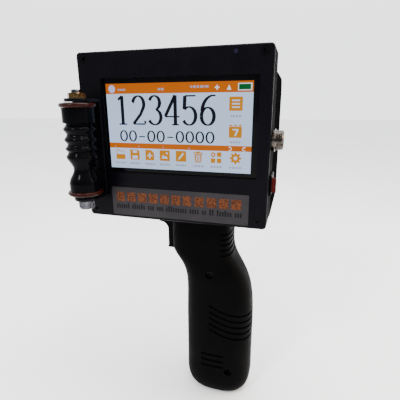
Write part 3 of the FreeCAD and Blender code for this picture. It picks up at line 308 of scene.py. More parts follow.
FINISHES = {
    "case_paint": (paint, dict(base=(0.0016, 0.0015, 0.0026))),
    "black_screws": (turned, dict(base=(0.005, 0.005, 0.006), gloss=(0.3, 0.45))),
    "black_foam": (rubber, dict(base=(0.01, 0.01, 0.011), gloss=(0.8, 0.95), depth=0.08)),
    "touch_glass": (polished, dict(base=(0.0015, 0.0015, 0.002), specular=0.06)),
    "lcd_frame": (brushed, dict(base=(0.5, 0.51, 0.53))),
    "label_film": (film, dict(base=(0.0165, 0.0145, 0.0165))),
    "light_lens": (polished, dict(base=(0.006, 0.004, 0.014))),
    "circuit_board": (board, dict(base=(0.012, 0.09, 0.035))),
    "plated_steel": (turned, dict(base=(0.55, 0.55, 0.54))),
    "chip_plastic": (moulded, dict(base=(0.012, 0.012, 0.014), grain=0.2)),
    "nickel_socket": (
        turned,
        dict(base=(0.07, 0.06, 0.052), gloss=(0.08, 0.16), direction="X", tarnish=(0.2, 1.9)),
    ),
    "socket_black": (moulded, dict(base=(0.01, 0.01, 0.011), grain=0.2)),
    "gold_pins": (turned, dict(base=(0.83, 0.6, 0.24), gloss=(0.15, 0.25))),
    "switch_black": (polished, dict(base=(0.002, 0.002, 0.0025), gloss=(0.3, 0.42), specular=0.008)),
    "rocker_red": (polished, dict(base=(0.06, 0.0028, 0.0015), gloss=(0.2, 0.32), specular=0.05)),
    "bracket_black": (paint, dict(base=(0.0016, 0.0016, 0.0024), gloss=(0.22, 0.36), specular=0.06)),
    "roller_black": (polished, dict(base=(0.0012, 0.0012, 0.0018), gloss=(0.1, 0.17), specular=0.025)),
    "ring_rubber": (rubber, dict(base=(0.014, 0.0019, 0.0008), gloss=(0.22, 0.34))),
    "bush_brass": (turned, dict(base=(0.7, 0.48, 0.2))),
    "magnet_black": (moulded, dict(base=(0.04, 0.04, 0.045), grain=0.3)),
    "chrome_bolt": (turned, dict(base=(0.055, 0.055, 0.064), gloss=(0.06, 0.14), tarnish=(0.25, 1.8))),
    "nut_brass": (turned, dict(base=(0.1, 0.062, 0.024), gloss=(0.14, 0.24), tarnish=(0.6, 1.5))),
    "cartridge_black": (moulded, dict(base=(0.006, 0.006, 0.007), specular=0.12)),
    "lid_green": (moulded, dict(base=(0.006, 0.085, 0.03), gloss=(0.3, 0.42), specular=0.2)),
    "cradle_grey": (moulded, dict(base=(0.05, 0.05, 0.055), specular=0.2)),
    "face_steel": (brushed, dict(base=(0.13, 0.13, 0.134), tarnish=(0.7, 1.3))),
    "grip_plastic": (moulded, dict(base=(0.0012, 0.0011, 0.0011), depth=0.05, specular=0.014)),
    "trigger_plastic": (moulded, dict(base=(0.0012, 0.0012, 0.0013), depth=0.04, specular=0.02)),
    "cell_wrap": (polished, dict(base=(0.015, 0.07, 0.2), gloss=(0.2, 0.32))),
}
made_finishes = {}


def finish_for(slot):
    if slot not in made_finishes:
        maker, values = FINISHES[slot]
        made_finishes[slot] = maker(slot + "_look", **values)
    return made_finishes[slot]


def dress(obj, material):
    """Puts a material on each of an object's own slots."""
    if not obj.material_slots:
        obj.data.materials.append(material)
    for held in obj.material_slots:
        held.link = "OBJECT"
        held.material = material


# Pieces whose long flat sides meet the light edge-on get a copy of the case paint with its reflection cut
# down, a painted shade on those sides, each with its specular level.
SHADED_SIDES = {"front_frame": 0.0014, "rear_housing": 0.0}
SHADED_SIDES_BLACK = (0.0026, 0.0025, 0.0029)
SHADED_SIDES_GLOSS = (0.5, 0.64)
# Sharp-edged pieces whose edges are eased by a modifier, with the width in millimetres.
EASED = {"trigger": 0.7, "roller_bracket_front": 0.3, "roller_bracket_rear": 0.3, "switch_body": 0.25}
EASED_ANGLE = math.radians(40)
EASED_SEGMENTS = 3
WELD = 0.0001 * MM


def ease_edges(obj, width):
    """Rounds a CAD node's sharp edges with modifiers, which leave its own mesh alone."""
    weld = obj.modifiers.new("weld", "WELD")
    weld.merge_threshold = WELD
    bevel = obj.modifiers.new("ease", "BEVEL")
    bevel.width = width * MM
    bevel.segments = EASED_SEGMENTS
    bevel.limit_method = "ANGLE"
    bevel.angle_limit = EASED_ANGLE
    bevel.use_clamp_overlap = True
    bevel.harden_normals = True


def dress_cad_nodes():
    for obj in NODES.values():
        dress(obj, finish_for(obj.material_slots[0].material.name))
    # Copies of the case paint with little or no reflection paint shade on the frame's and housing's long
    # sides.
    for name, specular in SHADED_SIDES.items():
        dress(NODES[name], paint(name + "_look", SHADED_SIDES_BLACK, SHADED_SIDES_GLOSS, specular))
    for name, width in EASED.items():
        ease_edges(NODES[name], width)


# ---------------------------------------------------------------- shapes


def add_object(name, mesh, material, body):
    obj = bpy.data.objects.new(name, mesh)
    bpy.context.scene.collection.objects.link(obj)
    dress(obj, material)
    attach(obj, body)
    return obj


def sheet_mesh(name, outlines, front, depth):
    """Filled outlines of (x, z) points, with holes where they nest, facing -Y at y = front, depth thick."""
    curve = bpy.data.curves.new(name, "CURVE")
    curve.dimensions = "2D"
    curve.fill_mode = "BOTH"
    curve.extrude = depth / 2
    for outline in outlines:
        spline = curve.splines.new("POLY")
        spline.points.add(len(outline) - 1)
        for point, (x, z) in zip(spline.points, outline):
            point.co = (x, z, 0, 1)
        spline.use_cyclic_u = True
    drawn = bpy.data.objects.new(name, curve)
    bpy.context.scene.collection.objects.link(drawn)
    bpy.context.view_layer.update()
    mesh = bpy.data.meshes.new_from_object(drawn.evaluated_get(bpy.context.evaluated_depsgraph_get()))
    bpy.data.objects.remove(drawn)
    bpy.data.curves.remove(curve)
    mesh.transform(Matrix.Translation((0, front + depth / 2, 0)) @ Matrix.Rotation(math.pi / 2, 4, "X"))
    mesh.materials.clear()
    return mesh


def add_skin(built, rings):
    """Adds the walls between closed rings of points, and a cap at each end."""
    rows = [[built.verts.new(point) for point in ring] for ring in rings]
    for row, following in zip(rows, rows[1:]):
        for index, vertex in enumerate(row):
            around = (index + 1) % len(row)
            built.faces.new((vertex, following[index], following[around], row[around]))
    built.faces.new(rows[0])
    built.faces.new(rows[-1][::-1])


def solids_mesh(name, solids):
    """One mesh of several solids, each a list of closed rings of points."""
    built = bmesh.new()
    for rings in solids:
        add_skin(built, rings)
    bmesh.ops.recalc_face_normals(built, faces=built.faces)
    mesh = bpy.data.meshes.new(name)
    built.to_mesh(mesh)
    built.free()
    return mesh


def rectangle(left, bottom, right, top):
    return [(left, bottom), (right, bottom), (right, top), (left, top)]


def arc(centre, radii, start, end, steps=14):
    """Points of an ellipse's arc, angles in degrees."""
    angles = [math.radians(start + (end - start) * step / steps) for step in range(steps + 1)]
    return [(centre[0] + radii[0] * math.cos(a), centre[1] + radii[1] * math.sin(a)) for a in angles]


def circle(centre, radius, steps=24):
    return arc(centre, (radius, radius), 0, 360, steps)[:-1]


def rounded(left, bottom, right, top, radius, steps=4):
    """A rectangle with rounded corners, each of steps straight runs."""
    corners = (
        ((right - radius, bottom + radius), -90),
        ((right - radius, top - radius), 0),
        ((left + radius, top - radius), 90),
        ((left + radius, bottom + radius), 180),
    )
    points = []
    for centre, start in corners:
        points += arc(centre, (radius, radius), start, start + 90, steps)
    return points


def ribbon(points, across, along):
    """The two edges of a flat pen's stroke: across wide where it runs upright, along where it lies flat."""
    left, right = [], []
    for index, point in enumerate(points):
        before = points[max(index - 1, 0)]
        after = points[min(index + 1, len(points) - 1)]
        run = Vector((after[0] - before[0], after[1] - before[1])).normalized()
        half = 0.5 * math.hypot(across * run.y, along * run.x)
        left.append((point[0] - run.y * half, point[1] + run.x * half))
        right.append((point[0] + run.y * half, point[1] - run.x * half))
    return left, right


def strokes_mesh(name, ribbons, front, depth):
    """Thin solid strips between the edges of each ribbon of (x, z) points, facing -Y at y = front."""
    strips = []
    for left, right in ribbons:
        strips.append([
            (
                (left_x, front, left_z),
                (right_x, front, right_z),
                (right_x, front + depth, right_z),
                (left_x, front + depth, left_z),
            )
            for (left_x, left_z), (right_x, right_z) in zip(left, right)
        ])
    return solids_mesh(name, strips)


# ---------------------------------------------------------------- turned and wound metal

BARREL_RADIUS = 6.0 * MM
THREAD_PITCH = 1.0 * MM
THREAD_RISE = 0.28 * MM
THREAD_SINK = 0.1 * THREAD_RISE
THREAD_HALF_WIDTH = 0.45 * THREAD_PITCH
THREAD_STEPS = 40
THREAD_START = 2.5 * MM
THREAD_STOP = 0.8 * MM


def build_socket_thread():
    """The ridge of the socket's thread, wound along the barrel, with its foot sunk into it."""
    low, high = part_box("socket_shell")
    axis_y, axis_z = (low.y + high.y) / 2, (low.z + high.z) / 2
    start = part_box("front_frame")[1].x + THREAD_START
    turns = (high.x - THREAD_STOP - start) / THREAD_PITCH
    profile = ((-THREAD_HALF_WIDTH, -THREAD_SINK), (0.0, THREAD_RISE), (THREAD_HALF_WIDTH, -THREAD_SINK))
    rings = []
    for step in range(int(turns * THREAD_STEPS)):
        turn = step / THREAD_STEPS
        angle = 2 * math.pi * turn
        ring = []
        for along, rise in profile:
            radius = BARREL_RADIUS + rise
            x = start + THREAD_PITCH * turn + along
            ring.append((x, axis_y + radius * math.cos(angle), axis_z + radius * math.sin(angle)))
        rings.append(ring)
    mesh = solids_mesh("socket_thread", [rings])
    mesh.shade_smooth()
    add_object("socket_thread", mesh, finish_for("nickel_socket"), "housing")


BOLT_HEAD_RADIUS = 5.0 * MM
BOLT_HEAD_LENGTH = 6.0 * MM
KNURLS = 30
KNURL_RISE = 0.22 * MM
KNURL_SINK = 0.3 * KNURL_RISE
KNURL_BOTTOM = 0.9 * MM
KNURL_TOP = 0.7 * MM


def build_bolt_knurl(side):
    """The knurled band round the head of an axle bolt. Its ridges run out at both ends of the band."""
    low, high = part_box("axle_bolt_" + side)
    centre_x, centre_y = (low.x + high.x) / 2, (low.y + high.y) / 2
    bottom, top = low.z + KNURL_BOTTOM, low.z + BOLT_HEAD_LENGTH - KNURL_TOP
    ridge = (
        (bottom, -KNURL_SINK),
        (bottom + KNURL_RISE, KNURL_RISE),
        (top - KNURL_RISE, KNURL_RISE),
        (top, -KNURL_SINK),
    )
    rings = []
    for z, crest in ridge:
        ring = []
        for index in range(2 * KNURLS):
            radius = BOLT_HEAD_RADIUS + (crest if index % 2 == 0 else -KNURL_SINK)
            angle = math.pi * index / KNURLS
            ring.append((centre_x + radius * math.cos(angle), centre_y + radius * math.sin(angle), z))
        rings.append(ring)
    mesh = solids_mesh("bolt_knurl_" + side, [rings])
    add_object("bolt_knurl_" + side, mesh, finish_for("chrome_bolt"), "housing")


SPRING_WIRE_RADIUS = 0.36 * MM
SPRING_WIRE_SIDES = 10
SPRING_ACTIVE_TURNS = 4
SPRING_END_TURNS = 1
SPRING_TURN_STEPS = 28
SPRING_END_GAP = 0.05 * MM


def spring_rises(start, stop):
    """The x of the wire's middle at each step: its end turns lie close, its active turns share the rest."""
    wire = 2 * SPRING_WIRE_RADIUS
    active_rise = (stop - start - 2 * SPRING_END_TURNS * wire) / SPRING_ACTIVE_TURNS
    turns = SPRING_ACTIVE_TURNS + 2 * SPRING_END_TURNS
    rises = [start]
    for step in range(turns * SPRING_TURN_STEPS):
        turn = step / SPRING_TURN_STEPS
        active = SPRING_END_TURNS <= turn < turns - SPRING_END_TURNS
        rises.append(rises[-1] + (active_rise if active else wire) / SPRING_TURN_STEPS)
    return rises


def build_trigger_spring():
    """The trigger's compression spring with closed ends."""
    low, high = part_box("trigger_spring")
    middle_y, middle_z = (low.y + high.y) / 2, (low.z + high.z) / 2
    coil_radius = (high.z - low.z) / 2 - SPRING_WIRE_RADIUS
    end = SPRING_END_GAP + SPRING_WIRE_RADIUS
    rings = []
    for step, rise in enumerate(spring_rises(low.x + end, high.x - end)):
        around = 2 * math.pi * step / SPRING_TURN_STEPS
        ring = []
        for side in range(SPRING_WIRE_SIDES):
            angle = 2 * math.pi * side / SPRING_WIRE_SIDES
            reach = coil_radius + SPRING_WIRE_RADIUS * math.cos(angle)
            x = rise + SPRING_WIRE_RADIUS * math.sin(angle)
            ring.append((x, middle_y + reach * math.cos(around), middle_z + reach * math.sin(around)))
        rings.append(ring)
    mesh = solids_mesh("trigger_spring_coil", [rings])
    mesh.shade_smooth()
    coil = add_object("trigger_spring_coil", mesh, finish_for("plated_steel"), "housing")
    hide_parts("trigger_spring")
    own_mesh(coil)


# ---------------------------------------------------------------- display

SCREEN_MARGIN_LEFT = 4.11 * MM
SCREEN_MARGIN_RIGHT = 5.25 * MM
SCREEN_MARGIN_BOTTOM = 6.32 * MM
SCREEN_MARGIN_TOP = 6.33 * MM
LAYER = 0.04 * MM
GROUND, PICTURE, SIGNS, CHARGE = 1, 2, 3, 4
SCREEN_SEED = 11

glass_low, glass_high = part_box("touch_panel")
SCREEN_LEFT = glass_low.x + SCREEN_MARGIN_LEFT
SCREEN_RIGHT = glass_high.x - SCREEN_MARGIN_RIGHT
SCREEN_BOTTOM = glass_low.z + SCREEN_MARGIN_BOTTOM
SCREEN_TOP = glass_high.z - SCREEN_MARGIN_TOP
SCREEN_WIDTH = SCREEN_RIGHT - SCREEN_LEFT
SCREEN_HEIGHT = SCREEN_TOP - SCREEN_BOTTOM
SCREEN_ASPECT = SCREEN_WIDTH / SCREEN_HEIGHT

SCREEN_COLOURS = {
    "white": (0.62, 0.8, 1.12),
    "bar": (0.6, 0.135, 0.006),
    "icon": (0.66, 0.25, 0.004),
    "pale": (0.93, 0.95, 1.0),
    "ink": (0.007, 0.008, 0.014),
    "green": (0.002, 0.12, 0.03),
    "violet": (0.6, 0.6, 0.98),
    "faint": (0.4, 0.44, 0.62),
}
SCREEN_LOOKS = {
    name: glowing("screen_" + name + "_look", colour) for name, colour in SCREEN_COLOURS.items()
}


def screen_point(u, v):
    """(x, z) of a point in shares of the display, measured from its top left corner."""
    return SCREEN_LEFT + u * SCREEN_WIDTH, SCREEN_TOP - v * SCREEN_HEIGHT


def on_screen(name, look, layer, outlines):
    """A piece of the picture: filled outlines in shares of the display, on a layer counted from the glass."""
    points = [[screen_point(u, v) for u, v in outline] for outline in outlines]
    mesh = sheet_mesh(name, points, glass_low.y - layer * LAYER, LAYER)
    add_object(name, mesh, SCREEN_LOOKS[look], "housing")


def pen_on_screen(name, look, layer, ribbons):
    """A piece of the picture made of pen strokes, on a layer counted from the glass."""
    points = [tuple([screen_point(u, v) for u, v in edge] for edge in edges) for edges in ribbons]
    mesh = strokes_mesh(name, points, glass_low.y - layer * LAYER, LAYER)
    add_object(name, mesh, SCREEN_LOOKS[look], "housing")


def placed_icon(outlines, centre, size):
    """Outlines from a unit square, y up, as a picture in shares of the display, upright and square."""
    width = size / SCREEN_ASPECT
    return [
        [(centre[0] + (x - 0.5) * width, centre[1] - (y - 0.5) * size) for x, y in outline]
        for outline in outlines
    ]


# Each icon is drawn in a unit square, y up. An outline inside another is a hole in it.


def folder_icon():
    """An open folder: the back with its tab, and the front flap."""
    back = [(0.08, 0.52), (0.08, 0.92), (0.36, 0.92), (0.44, 0.82), (0.86, 0.82), (0.86, 0.58)]
    inner = [(0.8, 0.58), (0.8, 0.76), (0.4, 0.76), (0.32, 0.86), (0.14, 0.86), (0.14, 0.52)]
    return [back + inner, rounded(0.04, 0.04, 0.94, 0.5, 0.06)]


def disk_icon():
    """A floppy disk: its label below and its shutter above."""
    body = [(0.04, 0.04), (0.96, 0.04), (0.96, 0.78), (0.8, 0.96), (0.04, 0.96)]
    return [body, rectangle(0.24, 0.12, 0.76, 0.42), rectangle(0.3, 0.66, 0.7, 0.9)]


def plus_outline(centre, reach, width):
    """A plus sign: the corners of one arm, turned a quarter at a time."""
    half = width / 2
    arm = [(-half, -reach), (half, -reach), (half, -half)]
    points = []
    for _ in range(4):
        points += [(centre[0] + x, centre[1] + y) for x, y in arm]
        arm = [(-y, x) for x, y in arm]
    return points


def page_icon():
    """A page with a cut corner and a plus sign."""
    page = [(0.08, 0.04), (0.92, 0.04), (0.92, 0.7), (0.66, 0.96), (0.08, 0.96)]
    return [page, plus_outline((0.5, 0.46), 0.25, 0.12)]


def tile():
    return rounded(0.02, 0.03, 0.98, 0.97, 0.08)


def picture_icon():
    """Hills and a sun."""
    hills = [(0.18, 0.24), (0.36, 0.6), (0.5, 0.36), (0.6, 0.5), (0.8, 0.24)]
    return [tile(), hills, circle((0.7, 0.72), 0.09, steps=12)]


def pen_icon():
    nib = [(0.24, 0.2), (0.38, 0.24), (0.8, 0.72), (0.68, 0.82), (0.28, 0.34)]
    return [tile(), nib]


def bin_icon():
    """A waste bin with three slots and a lid."""
    can = [(0.16, 0.76), (0.22, 0.02), (0.78, 0.02), (0.84, 0.76)]
    slots = [rectangle(x, 0.1, x + 0.07, 0.68) for x in (0.31, 0.465, 0.62)]
    rim = [(0.04, 0.8), (0.96, 0.8), (0.96, 0.88)]
    handle = [(0.66, 0.9), (0.62, 0.98), (0.38, 0.98), (0.34, 0.9)]
    return [can, *slots, rim + handle + [(0.04, 0.88)]]


def tiles_icon():
    """Three tiles and a ring."""
    low, high, gap = 0.04, 0.96, 0.07
    quarters = (
        (low, low, 0.5 - gap, 0.5 - gap),
        (0.5 + gap, low, high, 0.5 - gap),
        (0.5 + gap, 0.5 + gap, high, high),
    )
    ring = [circle((0.25, 0.75), 0.21), circle((0.25, 0.75), 0.09, steps=16)]
    return [rounded(*quarter, 0.06) for quarter in quarters] + ring


def gear_icon():
    """A gear: four points for each tooth, as a radius and a swing in degrees from the tooth's middle."""
    teeth = 8
    tooth_points = ((0.36, -16), (0.5, -9), (0.5, 9), (0.36, 16))
    points = []
    for tooth in range(teeth):
        for radius, swing in tooth_points:
            angle = math.radians(360 * tooth / teeth + swing)
            points.append((0.5 + radius * math.cos(angle), 0.5 + radius * math.sin(angle)))
    return [points, circle((0.5, 0.5), 0.16, steps=18)]


def lines_icon():
    """Three lines on a tile."""
    bars = [rectangle(0.22, y, 0.78, y + 0.1) for y in (0.22, 0.45, 0.68)]
    return [rounded(0.02, 0.02, 0.98, 0.98, 0.06), *bars]


def calendar_icon():
    """A calendar page with a seven, a rule and three tabs."""
    page = rounded(0.03, 0.02, 0.97, 0.8, 0.06)
    tabs = [rectangle(x, 0.86, x + 0.16, 0.94) for x in (0.08, 0.42, 0.76)]
    rule = rectangle(0.03, 0.83, 0.97, 0.86)
    seven = [(0.3, 0.64), (0.72, 0.64), (0.72, 0.54), (0.54, 0.14), (0.42, 0.14), (0.58, 0.54), (0.3, 0.54)]
    return [page, seven, rule, *tabs]


def turn_arrow(side):
    """A curved arrow, opening to the left for side 1 and to the right for side -1."""
    sweep = [(0.5 + side * (x - 0.5), y) for x, y in arc((0.5, 0.45), (0.36, 0.36), -130, 70)]
    left, right = ribbon(sweep, 0.16, 0.16)
    head = [(0.5 + side * x, y) for x, y in ((-0.3, 0.8), (0.1, 0.58), (0.1, 1.02))]
    return [left + right[::-1], head]


def triangle_sign():
    return [[(0.1, 0.06), (0.5, 0.94), (0.9, 0.06)]]


# Digits in a cell one unit wide and high, as the strokes of a flat pen.
DIGIT_STROKES = {
    "0": [arc((0.5, 0.5), (0.33, 0.48), 90, 450, steps=28)],
    "1": [[(0.28, 0.86), (0.5, 0.975)], [(0.5, 0.99), (0.5, 0.01)], [(0.28, 0.015), (0.72, 0.015)]],
    "2": [
        [(0.19, 0.76)] + arc((0.5, 0.71), (0.3, 0.27), 165, -25) + [(0.6, 0.36), (0.19, 0.03)],
        [(0.19, 0.025), (0.82, 0.025), (0.84, 0.13)],
    ],
    "3": [
        arc((0.48, 0.75), (0.27, 0.23), 160, -70),
        arc((0.47, 0.27), (0.33, 0.26), 80, -155),
    ],
    "4": [
        [(0.66, 0.99), (0.14, 0.3)],
        [(0.12, 0.285), (0.88, 0.285)],
        [(0.66, 0.99), (0.66, 0.01)],
        [(0.48, 0.015), (0.84, 0.015)],
    ],
    "5": [
        [(0.8, 0.965), (0.27, 0.965)],
        [(0.27, 0.965), (0.23, 0.53)],
        arc((0.47, 0.31), (0.33, 0.3), 135, -150),
    ],
    "6": [
        arc((0.78, 0.42), (0.56, 0.55), 80, 175),
        arc((0.5, 0.3), (0.31, 0.285), 180, -180, steps=26),
    ],
    "-": [[(0.2, 0.45), (0.8, 0.45)]],
}


def digits(text, left, top, right, bottom, across, along, gap):
    """Pen strokes of a row of digits, filling a box given in shares of the display."""
    cell = (right - left) / len(text)
    ribbons = []
    for index, sign in enumerate(text):
        start = left + (index + gap) * cell
        for stroke in DIGIT_STROKES[sign]:
            placed = [
                ((start + x * (1 - 2 * gap) * cell) * SCREEN_ASPECT, bottom - y * (bottom - top))
                for x, y in stroke
            ]
            edges = ribbon(placed, across, along)
            ribbons.append(tuple([(x / SCREEN_ASPECT, y) for x, y in edge] for edge in edges))
    return ribbons


MARK_LENGTHS = (0.6, 1.4)
MARK_HEIGHTS = (0.75, 1.0)
MARK_GAP = 0.35


def dashes(draw, left, right, middle, height, count):
    """A row of small marks of different lengths that stands for tiny print."""
    shares = [draw.uniform(*MARK_LENGTHS) for _ in range(count)]
    unit = (right - left) / (sum(shares) + MARK_GAP * (count - 1))
    outlines, x = [], left
    for share in shares:
        tall = height * draw.uniform(*MARK_HEIGHTS)
        outlines.append(rectangle(x, middle - tall / 2, x + share * unit, middle + tall / 2))
        x += (share + MARK_GAP) * unit
    return outlines


# Places on the display, in shares of its width across and of its height down.
TOP_BAR_END = 0.115
MIDDLE_BAR_START, MIDDLE_BAR_END = 0.69, 0.752
ROW_ICONS = (folder_icon, disk_icon, page_icon, picture_icon, pen_icon, bin_icon, tiles_icon, gear_icon)
ROW_CENTRES = (0.08, 0.19, 0.302, 0.413, 0.53, 0.65, 0.772, 0.9)
ROW_HEIGHT = 0.83
ROW_SIZE = 0.135
ROW_PRINT = dict(middle=0.938, height=0.026, count=4)
ROW_PRINT_REACH = 0.038
SIDE_CENTRE = 0.895
SIDE_ICONS = ((lines_icon, 0.235), (calendar_icon, 0.525))
SIDE_SIZE = 0.155
SIDE_PRINT_HEIGHTS = (0.365, 0.65)
SIDE_PRINT = dict(height=0.028, count=4)
SIDE_PRINT_REACH = 0.034
BIG_ROW = dict(left=0.055, top=0.135, right=0.775, bottom=0.47, across=0.042, along=0.016, gap=-0.06)
SMALL_ROW = dict(left=0.08, top=0.54, right=0.765, bottom=0.668, across=0.022, along=0.013, gap=-0.03)
BADGE_CENTRE = (0.045, 0.06)
BADGE_RADIUS = 0.044
TITLE_PRINTS = (
    dict(left=0.09, right=0.145, middle=0.07, height=0.022, count=3),
    dict(left=0.38, right=0.42, middle=0.07, height=0.025, count=2),
    dict(left=0.6, right=0.72, middle=0.05, height=0.025, count=5),
)
TICKS = (0.04, 0.22, 0.4, 0.585)
TICK_WIDTH = 0.006
TICK_TOP, TICK_BOTTOM = 0.725, 0.738
ARROW_HEIGHT = 0.722
ARROW_SIZE = 0.052
ARROWS = ((1, 0.862), (-1, 0.955))
STATUS_HEIGHT = 0.062
STATUS_SIZE = 0.062
PLUS_PLACE, TRIANGLE_PLACE = 0.775, 0.85
BATTERY = (0.905, 0.022, 0.992, 0.098)
BATTERY_CHARGE = (0.911, 0.032, 0.984, 0.088)


def build_screen_ground():
    on_screen("screen_background", "white", GROUND, [rectangle(0, 0, 1, 1)])
    bars = [rectangle(0, 0, 1, TOP_BAR_END), rectangle(0, MIDDLE_BAR_START, 1, MIDDLE_BAR_END)]
    on_screen("screen_bars", "bar", PICTURE, bars)


def build_screen_icons():
    shapes = []
    for icon, centre in zip(ROW_ICONS, ROW_CENTRES):
        shapes += placed_icon(icon(), (centre, ROW_HEIGHT), ROW_SIZE)
    for icon, height in SIDE_ICONS:
        shapes += placed_icon(icon(), (SIDE_CENTRE, height), SIDE_SIZE)
    on_screen("screen_icons", "icon", PICTURE, shapes)


def build_screen_digits():
    pen_on_screen("screen_digits", "ink", PICTURE, digits("123456", **BIG_ROW))
    pen_on_screen("screen_small_digits", "ink", PICTURE, digits("00-00-0000", **SMALL_ROW))


def build_screen_bar_marks(draw):
    """The badge, small marks and status signs on the two bars."""
    badge = [
        (BADGE_CENTRE[0] + x / SCREEN_ASPECT, BADGE_CENTRE[1] + y) for x, y in circle((0, 0), BADGE_RADIUS)
    ]
    on_screen("screen_badge", "violet", SIGNS, [badge])
    marks = []
    for row in TITLE_PRINTS:
        marks += dashes(draw, **row)
    marks += [rectangle(u, TICK_TOP, u + TICK_WIDTH, TICK_BOTTOM) for u in TICKS]
    on_screen("screen_bar_marks", "faint", SIGNS, marks)
    signs = []
    for side, place in ARROWS:
        signs += placed_icon(turn_arrow(side), (place, ARROW_HEIGHT), ARROW_SIZE)
    signs += placed_icon([plus_outline((0.5, 0.5), 0.42, 0.22)], (PLUS_PLACE, STATUS_HEIGHT), STATUS_SIZE)
    signs += placed_icon(triangle_sign(), (TRIANGLE_PLACE, STATUS_HEIGHT), STATUS_SIZE)
    signs += [rectangle(*BATTERY)]
    on_screen("screen_pale_marks", "pale", SIGNS, signs)
    on_screen("screen_charge", "green", CHARGE, [rectangle(*BATTERY_CHARGE)])


def build_screen_small_print(draw):
    """Rows of dashes under the icons."""
    prints = []
    for centre in ROW_CENTRES:
        prints += dashes(draw, centre - ROW_PRINT_REACH, centre + ROW_PRINT_REACH, **ROW_PRINT)
    left, right = SIDE_CENTRE - SIDE_PRINT_REACH, SIDE_CENTRE + SIDE_PRINT_REACH
    for middle in SIDE_PRINT_HEIGHTS:
        prints += dashes(draw, left, right, middle, **SIDE_PRINT)
    on_screen("screen_small_print", "faint", PICTURE, prints)


def build_screen():
    draw = random.Random(SCREEN_SEED)
    build_screen_ground()
    build_screen_icons()
    build_screen_digits()
    build_screen_bar_marks(draw)
    build_screen_small_print(draw)


# ---------------------------------------------------------------- label

LABEL_SEED = 5
LABEL_PRINT = 0.03 * MM
LABEL_ORANGE = (0.075, 0.021, 0.006)
LABEL_DARK = (0.0022, 0.0022, 0.0035)
# Places on the label, in shares of its width and height, from its bottom left corner.
BLOCKS = 11
BLOCKS_LEFT, BLOCKS_RIGHT = 0.035, 0.97
BLOCK_BOTTOM, BLOCK_TOP = 0.5, 0.83
BLOCK_FILLS = (0.7, 0.8)
BLOCK_CORNER = 0.004
WORD_LENGTHS = (6, 6, 3, 3, 9, 4, 2, 2, 6, 3)
WORDS_LEFT, WORDS_RIGHT = 0.03, 0.96
LETTER_BOTTOM = 0.24
LETTER_HEIGHTS = (0.15, 0.15, 0.2)
LETTER_START, LETTER_END = 0.12, 0.82


def label_blocks(draw):
    """A row of plain blocks, each a little different in width."""
    blocks = []
    pitch = (BLOCKS_RIGHT - BLOCKS_LEFT) / BLOCKS
    for index in range(BLOCKS):
        left = BLOCKS_LEFT + index * pitch
        right = left + pitch * draw.uniform(*BLOCK_FILLS)
        blocks.append(rounded(left, BLOCK_BOTTOM, right, BLOCK_TOP, BLOCK_CORNER, steps=2))
    return blocks


def label_marks(draw):
    """A row of plain bars, grouped as words are."""
    marks = []
    places = sum(WORD_LENGTHS) + len(WORD_LENGTHS) - 1
    step = (WORDS_RIGHT - WORDS_LEFT) / places
    x = WORDS_LEFT
    for word in WORD_LENGTHS:
        for _ in range(word):
            top = LETTER_BOTTOM + draw.choice(LETTER_HEIGHTS)
            marks.append(rectangle(x + LETTER_START * step, LETTER_BOTTOM, x + LETTER_END * step, top))
            x += step
        x += step
    return marks


def print_on_label(name, outlines, ink):
    low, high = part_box("front_label")
    width, height = high.x - low.x, high.z - low.z
    placed = [[(low.x + u * width, low.z + v * height) for u, v in outline] for outline in outlines]
    mesh = sheet_mesh(name, placed, low.y - LABEL_PRINT, LABEL_PRINT)
    add_object(name, mesh, ink, "housing")


def build_label():
    """Two rows of plain marks stand for the print on the label."""
    draw = random.Random(LABEL_SEED)
    print_on_label("label_blocks", label_blocks(draw), print_ink("label_orange_look", LABEL_ORANGE))
    print_on_label("label_marks", label_marks(draw), print_ink("label_dark_look", LABEL_DARK))


# ---------------------------------------------------------------- stage

# Area lights: place from the middle of the object and size in metres, power in watts, colour.
LIGHTS = {
    "key": ((-0.35, -0.75, 0.75), (0.17, 0.17), 9.0, (1.0, 0.97, 0.93)),
    "right_strip": ((0.75, 0.1, 0.4), (0.25, 0.5), 5.0, (1.0, 0.74, 0.5)),
    "spark": ((0.25, -0.35, 0.85), (0.12, 0.12), 2.5, (1.0, 1.0, 1.0)),
    "top": ((0.1, 0.2, 1.0), (0.9, 0.6), 12.0, (1.0, 1.0, 1.0)),
}


def add_light(name, target, offset, size, power, colour):
    light = bpy.data.lights.new(name, "AREA")
    light.shape = "RECTANGLE"
    light.size, light.size_y = size
    light.energy = power
    light.color = colour
    obj = bpy.data.objects.new(name, light)
    bpy.context.scene.collection.objects.link(obj)
    obj.location = target + Vector(offset)
    obj.rotation_euler = (-Vector(offset)).to_track_quat("-Z", "Y").to_euler()


# Strengths of the surround, and the stretches of the direction's Y and Z over which they grow.
SURROUND = (0.97, 0.98, 1.0, 1)
FRONT_GLOW, BACK_GLOW = 0.6, 2.6
DEPTH_START, DEPTH_END = -0.9, 0.7
TOP_GLOW = 1.2
RISE_START, RISE_END = 0.2, 1.0


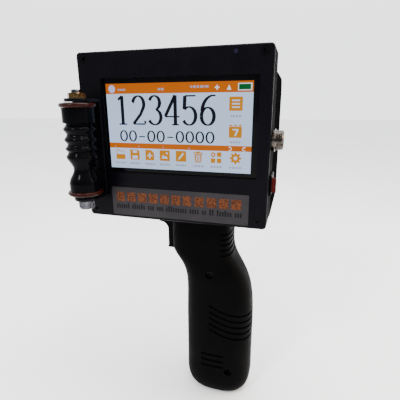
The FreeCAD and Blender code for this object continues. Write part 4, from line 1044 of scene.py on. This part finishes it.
def studio_world():
    """A soft white surround, brighter behind the object and overhead than in front of it."""
    world = bpy.data.worlds.new("studio")
    world.use_nodes = True
    nodes, links = world.node_tree.nodes, world.node_tree.links
    direction = nodes.new("ShaderNodeSeparateXYZ")
    links.new(nodes.new("ShaderNodeTexCoord").outputs["Generated"], direction.inputs[0])

    def glow(axis, start, end, low, high, blend):
        made = nodes.new("ShaderNodeMapRange")
        made.interpolation_type = blend
        for socket, value in (("From Min", start), ("From Max", end), ("To Min", low), ("To Max", high)):
            made.inputs[socket].default_value = value
        links.new(direction.outputs[axis], made.inputs["Value"])
        return made.outputs["Result"]

    total = nodes.new("ShaderNodeMath")
    links.new(glow("Y", DEPTH_START, DEPTH_END, FRONT_GLOW, BACK_GLOW, "SMOOTHSTEP"), total.inputs[0])
    links.new(glow("Z", RISE_START, RISE_END, 0.0, TOP_GLOW, "LINEAR"), total.inputs[1])
    background = nodes["Background"]
    background.inputs["Color"].default_value = SURROUND
    links.new(total.outputs[0], background.inputs["Strength"])
    return world


FLOOR_SIZE = 12.0
FLOOR_SQUARES = 8
FLOOR_DROP = 0.4 * MM
FLOOR_DARK, FLOOR_LIGHT = (0.87, 0.87, 0.875), (0.9, 0.9, 0.905)


def build_floor(middle, bottom):
    mesh = bpy.data.meshes.new("floor")
    built = bmesh.new()
    bmesh.ops.create_grid(built, x_segments=FLOOR_SQUARES, y_segments=FLOOR_SQUARES, size=FLOOR_SIZE / 2)
    built.to_mesh(mesh)
    built.free()
    floor = bpy.data.objects.new("floor", mesh)
    floor.location = (middle.x, middle.y, bottom - FLOOR_DROP)
    bpy.context.scene.collection.objects.link(floor)
    look = Finish("floor_look", Roughness=0.6, Specular_IOR_Level=0.2)
    look.colour(look.noise(size=400.0, detail=2), FLOOR_DARK, FLOOR_LIGHT)
    dress(floor, look.material)


def build_stage():
    low, high = CAD_BOX
    middle = (low + high) / 2
    build_floor(middle, low.z)
    bpy.context.scene.world = studio_world()
    for name, values in LIGHTS.items():
        add_light(name, middle, *values)


# The camera stands in front of the panel, just past its right edge, and looks down and to the left.
CAMERA_AT = Vector((50.748, -238.838, 170.557)) * MM
CAMERA_PAN = math.radians(15.9637)
CAMERA_TILT = math.radians(74.1003)
CAMERA_ROLL = math.radians(-0.2286)
CAMERA_LENS = 29.65
CAMERA_SENSOR = 36.0
CAMERA_NEAR = 0.01


def build_camera():
    data = bpy.data.cameras.new("camera")
    data.lens = CAMERA_LENS
    data.sensor_width = CAMERA_SENSOR
    data.clip_start = CAMERA_NEAR
    camera = bpy.data.objects.new("camera", data)
    bpy.context.scene.collection.objects.link(camera)
    turned_by = (
        Matrix.Rotation(CAMERA_PAN, 4, "Z")
        @ Matrix.Rotation(CAMERA_TILT, 4, "X")
        @ Matrix.Rotation(CAMERA_ROLL, 4, "Z")
    )
    camera.matrix_world = Matrix.Translation(CAMERA_AT) @ turned_by
    bpy.context.scene.camera = camera


build_camera()
dress_cad_nodes()
build_screen()
build_label()
build_socket_thread()
build_bolt_knurl("front")
build_bolt_knurl("rear")
build_trigger_spring()
build_stage()
